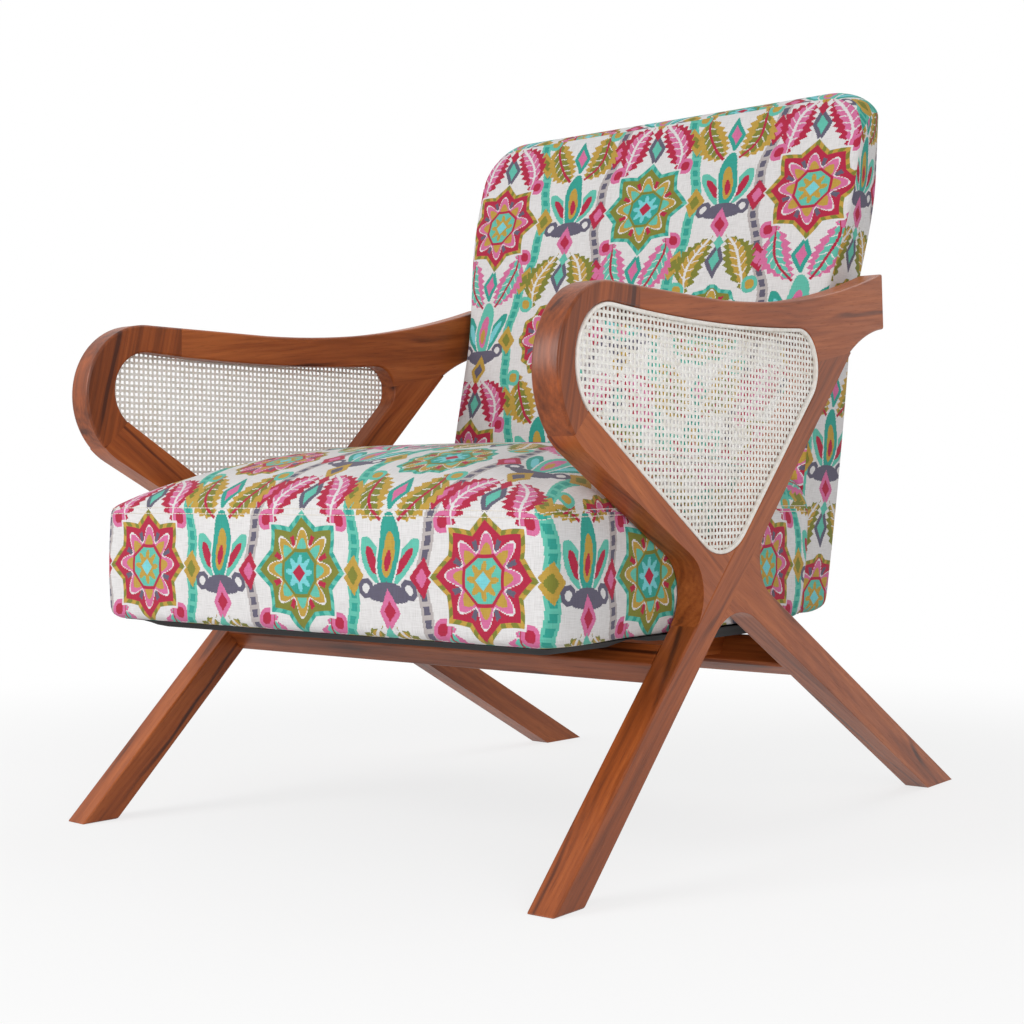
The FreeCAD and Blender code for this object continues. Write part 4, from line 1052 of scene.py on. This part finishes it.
# back cushion, leaning, thinner at the top, spreading over the arms
backrest = {
    "front": 0.543,
    "low": 0.2322,
    "seam": 0.863,
    "topRound": 0.009,
    "run": 0.1468,
    "crown": 0.014,
    "crownFade": 0.4,  # share of the crown lost at the sides
    "lowDepth": 0.096,
    "topDepth": 0.042,
    "rearSag": 0.014,
    "half": 0.2765,
    "flare": 0.0225,
    "flareFrom": 0.56,
    "flareTo": 0.76,
    "corner": 0.054,
    "cornerFrom": 0.80,
    "cornerFade": 0.6,  # rear corners are this much squarer
    "edgePull": 0.006,
    "pullSide": 0.90,
    "pullTop": 0.95,
    "roll": 0.016,
    "rollIn": 0.8,
    "boxing": 0.045,  # how far off the print is cut for the sides and top
    "boxDepth": 0.075,
    "clothRise": 1.03,  # cloth for each metre of height, because it leans
    "across": 60,
    "deep": 10,
    "tall": 64,
    "heldBelow": 0.27,  # the front is held where the seat hides it
    "force": 4.0,
    "cap": 0.024,
    "ease": 0.5,
    "fill": 0.85,
    "armGap": 0.002,
    "spill": 0.02,  # it may swell this much wider over the arms
    "spillFrom": 0.625,
    "spillTo": 0.665,
}


def backFaces(s, z):
    # depth of the front and of the rear face, a share s of the way across, at height z
    full = np.clip((z - backrest["low"]) / (backrest["seam"] - backrest["low"]), 0, 1)
    swell = 4 * full * (1 - full)
    lean = backrest["front"] + full * backrest["run"]
    deep = backrest["lowDepth"] + full * (backrest["topDepth"] - backrest["lowDepth"])
    front = lean - backrest["crown"] * swell * (1 - backrest["crownFade"] * abs(s) ** 4)
    return front, lean + deep + backrest["rearSag"] * swell


# seat cushion, bull-nosed over a stitched seam, spreading a little before the arms
seat = {
    "front": 0.034,
    "low": 0.2322,
    "seam": 0.356,
    "depth": 0.55,
    "crown": 0.073,
    "crownAt": 0.52,  # share of the depth where it is highest
    "noseBow": 2.2,
    "noseRise": 0.526,
    "sideBow": 4.4,
    "rearFall": 0.14,  # share of the crown lost at the rear
    "gap": 0.001,
    "backGap": 0.002,
    "bulge": 0.004,
    "spread": 0.010,
    "spreadFrom": 0.09,
    "spreadTo": 0.30,
    "cornerDraw": 0.012,
    "cornerRun": 0.08,
    "roll": 0.010,  # the cover turns under at the bottom
    "rollIn": 0.8,
    "across": 60,
    "deep": 56,
    "tall": 13,
    "deepCrowd": 1.25,
    "tallCrowd": 1.3,
    "force": 4.0,
    "cap": 0.024,
    "ease": 0.4,
    "fill": 0.9,
    "armGap": 0.0012,
    "swollenGap": 0.0015,
    "stilePoint": (0.032, 0.457),  # depth and height of a point on the sloping stile
    "stileAhead": (-0.571, -0.821),  # the way forward from it
    "spill": 0.012,  # it may swell this much wider before the stile
    "spillFrom": 0.026,
    "spillTo": 0.060,
}


def seatCrown(t):
    at = seat["crownAt"]
    rise = (1 - np.clip(1 - t / at, 0, 1) ** seat["noseBow"]) ** seat["noseRise"]
    return rise - seat["rearFall"] * (max(t - at, 0) / (1 - at)) ** 2


seatAcross = spread(seat["across"] + 1)
seatDeep = np.linspace(0, 1, seat["deep"] + 1) ** seat["deepCrowd"]
seatTall = np.linspace(0, 1, seat["tall"] + 1) ** seat["tallCrowd"]


def seatHalf(t):
    draw = quarter(1 - t / seat["cornerRun"]) if t < seat["cornerRun"] else 0
    half = innerFace(seat["front"] + t * seat["depth"]) - seat["gap"] - seat["bulge"]
    wider = seat["spread"] * (1 - smooth(seat["spreadFrom"], seat["spreadTo"], t))
    return half + wider - draw * seat["cornerDraw"]


def seatPlace(i, j, k):
    s, t, h = seatAcross[i], seatDeep[j], seatTall[k]
    z = seat["low"] + h * (seat["seam"] - seat["low"])
    if k == seat["tall"]:
        z += seat["crown"] * seatCrown(t) * max(1 - abs(s) ** seat["sideBow"], 0) ** 0.5
    x = s * seatHalf(t)
    if i in (0, seat["across"]):
        x += math.copysign(seat["bulge"] * math.sin(math.pi * h), s)
    under = rollUnder(seat, z)
    x *= 1 - under / seatHalf(t)
    rear = backFaces(s, z)[0] - seat["backGap"]
    return x, seat["front"] + under * (1 - t) + t * (rear - seat["front"]) + shared["frontEdge"], z


# lengths of cloth over the top, back from the seam and out from the middle
crest = np.array([[seatPlace(i, j, seat["tall"]) for j in range(seat["deep"] + 1)]
                  for i in range(seat["across"] + 1)])
midLine = seat["across"] // 2
seatRun = np.concatenate([[0], np.cumsum(np.linalg.norm(np.diff(crest[midLine], axis=0), axis=1))])
seatSpan = np.zeros(crest.shape[:2])
seatSpan[1:] = np.cumsum(np.linalg.norm(np.diff(crest, axis=0), axis=2), axis=0)
seatSpan -= seatSpan[midLine]


def seatFlat(side, i, j, k):
    x, y, z = seatPlace(i, j, k)
    back = y - shared["frontEdge"] - seat["front"]
    if side == "top":
        return seatSpan[i, j], seat["seam"] + seatRun[j]
    if side in ("left", "right"):
        cornerX, cornerY, _ = seatPlace(i, 0, k)
        return math.copysign(abs(cornerX) + y - cornerY, x), z
    if side == "bottom":
        return x, seat["low"] - back
    return x, z


def seatHeld(i, j, k):
    # the bottom, the rear, the seam and the front corners
    atSide = i in (0, seat["across"])
    atFront = j == 0
    if k == seat["tall"] and (atFront or atSide):
        return True
    return k == 0 or j == seat["deep"] or (atFront and atSide)


seatMesh, seatIndex = boxMesh("seatCushion", seat, seatPlace, seatFlat)
seatPiece = addPiece("seat_cushion", seatMesh, linenPaint)
place = puff(seatPiece, [n for spot, n in seatIndex.items() if seatHeld(*spot)], seat)
depth = place[:, 1] - shared["frontEdge"]
(stileDepth, stileHeight), (aheadDepth, aheadHeight) = seat["stilePoint"], seat["stileAhead"]
ahead = (depth - stileDepth) * aheadDepth + (place[:, 2] - stileHeight) * aheadHeight
spill = seat["spill"] * smooth(seat["spillFrom"], seat["spillTo"], ahead)
limit = innerFace(depth) - seat["armGap"] + spill
place[:, 0] = np.clip(place[:, 0], -limit, limit)
rear = backFaces(0, place[:, 2])[0] - seat["swollenGap"] + shared["frontEdge"]
place[:, 1] = np.minimum(place[:, 1], rear)
setPoints(seatMesh, place)
seatMesh = finishCushion(seatPiece, ("seat_cover", "seat_foam"))
print("seat cushion made,", len(seatMesh.polygons), "faces")

backAcross = spread(backrest["across"] + 1)
backDeep = np.linspace(0, 1, backrest["deep"] + 1)
backTall = (spread(backrest["tall"] + 1) + 1) / 2


def backPlace(i, j, k):
    s, d, h = backAcross[i], backDeep[j], backTall[k]
    corner = backrest["corner"] * (1 - backrest["cornerFade"] * d)
    drop = quarter(pastShare(abs(s), backrest["cornerFrom"])) * corner
    top = backrest["seam"] + backrest["topRound"] * math.sin(math.pi * d) - drop
    z = backrest["low"] + h * (top - backrest["low"])
    front, rear = backFaces(s, z)
    side = quarter(pastShare(abs(s), backrest["pullSide"]))
    cap = quarter(pastShare(h, backrest["pullTop"]))
    pull = max(side, cap) * backrest["edgePull"]
    under = rollUnder(backrest, z)
    flare = backrest["flare"] * smooth(backrest["flareFrom"], backrest["flareTo"], z)
    x = s * (backrest["half"] + flare - under)
    return x, front + pull + d * (rear - front - 2 * pull - under) + shared["frontEdge"], z


def backFlat(side, i, j, k):
    x, y, z = backPlace(i, j, k)
    depth = backDeep[j] * backrest["boxDepth"] + backrest["boxing"]
    rise = seat["seam"] + seatRun[-1] + (z - seat["seam"]) * backrest["clothRise"]
    if side == "top":
        return x, rise + depth
    if side in ("left", "right"):
        return math.copysign(abs(x) + depth, x), rise
    if side == "rear":
        return -x, rise
    return x, rise


def backHeld(i, j, k):
    # the bottom, what the seat hides and the seams round the front and the rear
    atRim = i in (0, backrest["across"]) or k == backrest["tall"]
    if j == 0 and backTall[k] < backrest["heldBelow"]:
        return True
    return k == 0 or (j in (0, backrest["deep"]) and atRim)


backMesh, backIndex = boxMesh("backCushion", backrest, backPlace, backFlat)
backPiece = addPiece("back_cushion", backMesh, linenPaint)
place = puff(backPiece, [n for spot, n in backIndex.items() if backHeld(*spot)], backrest)
spill = backrest["spill"] * smooth(backrest["spillFrom"], backrest["spillTo"], place[:, 2])
limit = innerFace(place[:, 1] - shared["frontEdge"]) - backrest["armGap"] + spill
place[:, 0] = np.clip(place[:, 0], -limit, limit)
setPoints(backMesh, place)
backMesh = finishCushion(backPiece, ("back_cover", "back_front_foam", "back_rear_foam"))
print("back cushion made,", len(backMesh.polygons), "faces")

# two rows of top stitching along the seat's seam
stitching = {
    "apart": 0.0064,
    "pitch": 0.0046,
    "length": 0.0032,
    "thread": 0.00046,
    "proud": 0.0002,
    "pale": linear("#e6e0d6"),
    "deep": linear("#cdc5b9"),
    "twistScale": 1800,
}
threadPaint, wire = startMaterial("seamThread")
twist = objectPlace(wire).noise(stitching["twistScale"], 1.0)
colour = wire.ramp(twist, (0.3, stitching["deep"]), (0.7, stitching["pale"]))
endMaterial(wire, colour, 0.7 + (twist - 0.5) * 0.2, wire.bump(twist, 0.3, 0.0002))


def stitchTree(material):
    tree, given = startTree("topStitch", ("pitch", "length", "thread"))
    wire = given["Geometry"]
    line = wire.node("GeometryNodeMeshToCurve", None, {"Mesh": given["Geometry"]})
    spots = wire.node("GeometryNodeCurveToPoints", {"mode": "LENGTH"},
                      {"Curve": line, "Length": given["pitch"]})
    turn = Wire(tree, spots.socket.node.outputs["Rotation"])
    bar = wire.node("GeometryNodeMeshCylinder", None, {
        "Vertices": 6, "Side Segments": 1, "Radius": given["thread"], "Depth": given["length"]})
    rows = wire.node("GeometryNodeInstanceOnPoints", None,
                     {"Points": spots, "Instance": bar, "Rotation": turn})
    endTree(wire, rows, material)
    return tree


seatSkin = skinOf(seatMesh)
skin = points(seatMesh)
top = seat["tall"]
edge = [(0, j, top) for j in range(seat["deep"] - 1, 0, -1)]
edge += [(i, 0, top) for i in range(seat["across"] + 1)]
edge += [(seat["across"], j, top) for j in range(1, seat["deep"])]
seam = np.array([skin[seatIndex[one]] for one in edge])
tangent = np.gradient(seam, axis=0)
tree = stitchTree(threadPaint)
for side, name in ((1, "upper"), (-1, "lower")):
    row = []
    for spot, run in zip(seam, tangent):
        _, normal, _, _ = seatSkin.find_nearest(Vector(spot))
        across = normal.cross(Vector(run)).normalized() * side
        spot, normal, _, _ = seatSkin.find_nearest(Vector(spot) + across * stitching["apart"] / 2)
        row.append(spot + normal * stitching["proud"])
    rowMesh = bpy.data.meshes.new(name + "Stitches")
    rowMesh.from_pydata(row, [(n, n + 1) for n in range(len(row) - 1)], [])
    stitches = addPiece("seat_seam_" + name + "_stitches", rowMesh, threadPaint)
    useTree(stitches, tree, stitching)
    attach(stitches, "root")
    print(name, "stitches,", len(stitches.data.polygons), "faces")

# plain finishes for what the covers and joints hide: pale and deep colour, fleck per metre, roughness
hidden = {
    "softwood": ("#d8b98a", "#b98f5c", (9, 90, 90), 0.7),
    "beech": ("#d9b48b", "#c2976a", (40, 40, 200), 0.6),
    "webbing": ("#4b453d", "#2e2a26", 260, 0.85),
    "black_cloth": ("#1d1c1d", "#0e0e0f", 700, 0.92),
    "steel": ("#b9bbbd", "#8c8f92", (220, 220, 40), 0.35),
}
plain = {}
for name, (pale, deep, scale, rough) in hidden.items():
    plain[name], wire = startMaterial(name + "Plain")
    fleck = objectPlace(wire).noise(scale, 3.0)
    colour = wire.ramp(fleck, (0.35, linear(deep)), (0.65, linear(pale)))
    metal = {"Metallic": 1.0} if name == "steel" else {}
    endMaterial(wire, colour, rough + (fleck - 0.5) * 0.2, wire.bump(fleck, 0.2, 0.0005), **metal)

# black dust sheet tacked under the seat, hanging a little loose between the bearers
dust = {
    "front": 0.050,
    "rear": 0.600,
    "narrows": (0.529, 0.539),
    "rearHalf": 0.258,
    "sag": 0.0095,
    "rearSag": 0.006,  # looser behind the front rail
    "rearFrom": (0.27, 0.38),
    "endRun": 0.035,
    "edgeRun": 0.030,
    "railLift": 0.52,  # share of the sag that the front rail takes up
    "railFront": (0.185, 0.205),
    "railRear": (0.255, 0.275),
    "bearer": 0.207,
    "bearerFrom": (0.190, 0.245),
    "bearerSide": (0.013, 0.040),
    "inset": 0.0009,
    "thick": 0.0008,
    "rows": 66,
    "columns": 72,
}
low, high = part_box("dust_cover")
rows, columns = dust["rows"], dust["columns"]
spots = []
for j in range(rows + 1):
    depth = dust["front"] + (dust["rear"] - dust["front"]) * j / rows
    wide = high.x - (depth - dust["front"]) * shared["toeSlope"]
    half = wide + (dust["rearHalf"] - wide) * smooth(*dust["narrows"], depth)
    ends = smooth(0, dust["endRun"], min(depth - dust["front"], dust["rear"] - depth))
    loose = dust["sag"] + dust["rearSag"] * smooth(*dust["rearFrom"], depth)
    rail = 1 - dust["railLift"] * smooth(*dust["railFront"], depth) * (1 - smooth(*dust["railRear"], depth))
    for i in range(columns + 1):
        x = half * (2 * i / columns - 1)
        edges = smooth(0, dust["edgeRun"], half - abs(x))
        beside = smooth(*dust["bearerSide"], abs(abs(x) - dust["bearer"]))
        beam = 1 - smooth(*dust["bearerFrom"], depth) * (1 - beside)
        hang = loose * ends * edges * rail * beam
        spots.append((x, depth + shared["frontEdge"], low.z + dust["inset"] - hang))
stride = columns + 1
faces = [(n, n + 1, n + stride + 1, n + stride)
         for j in range(rows) for n in range(j * stride, j * stride + columns)]
dustMesh = bpy.data.meshes.new("dustSheet")
dustMesh.from_pydata(spots, [], faces)
dustMesh.shade_smooth()
dustSheet = addPiece("dust_sheet", dustMesh, plain["black_cloth"])
thicken = dustSheet.modifiers.new("thick", "SOLIDIFY")
thicken.thickness = dust["thick"]
thicken.offset = -1
settle(dustSheet)
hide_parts("dust_cover")
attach(dustSheet, "root")
print("dust sheet hung")

hiddenSlots = (("dowels", "beech"), ("screws", "steel"), ("webbing", "webbing"), ("base_", "softwood"),
               ("back_", "softwood"))
for name, node in nodes.items():
    if not node.hide_render:
        finish = next(slot for key, slot in hiddenSlots if key in name)
        node.data.materials.clear()
        node.data.materials.append(plain[finish])
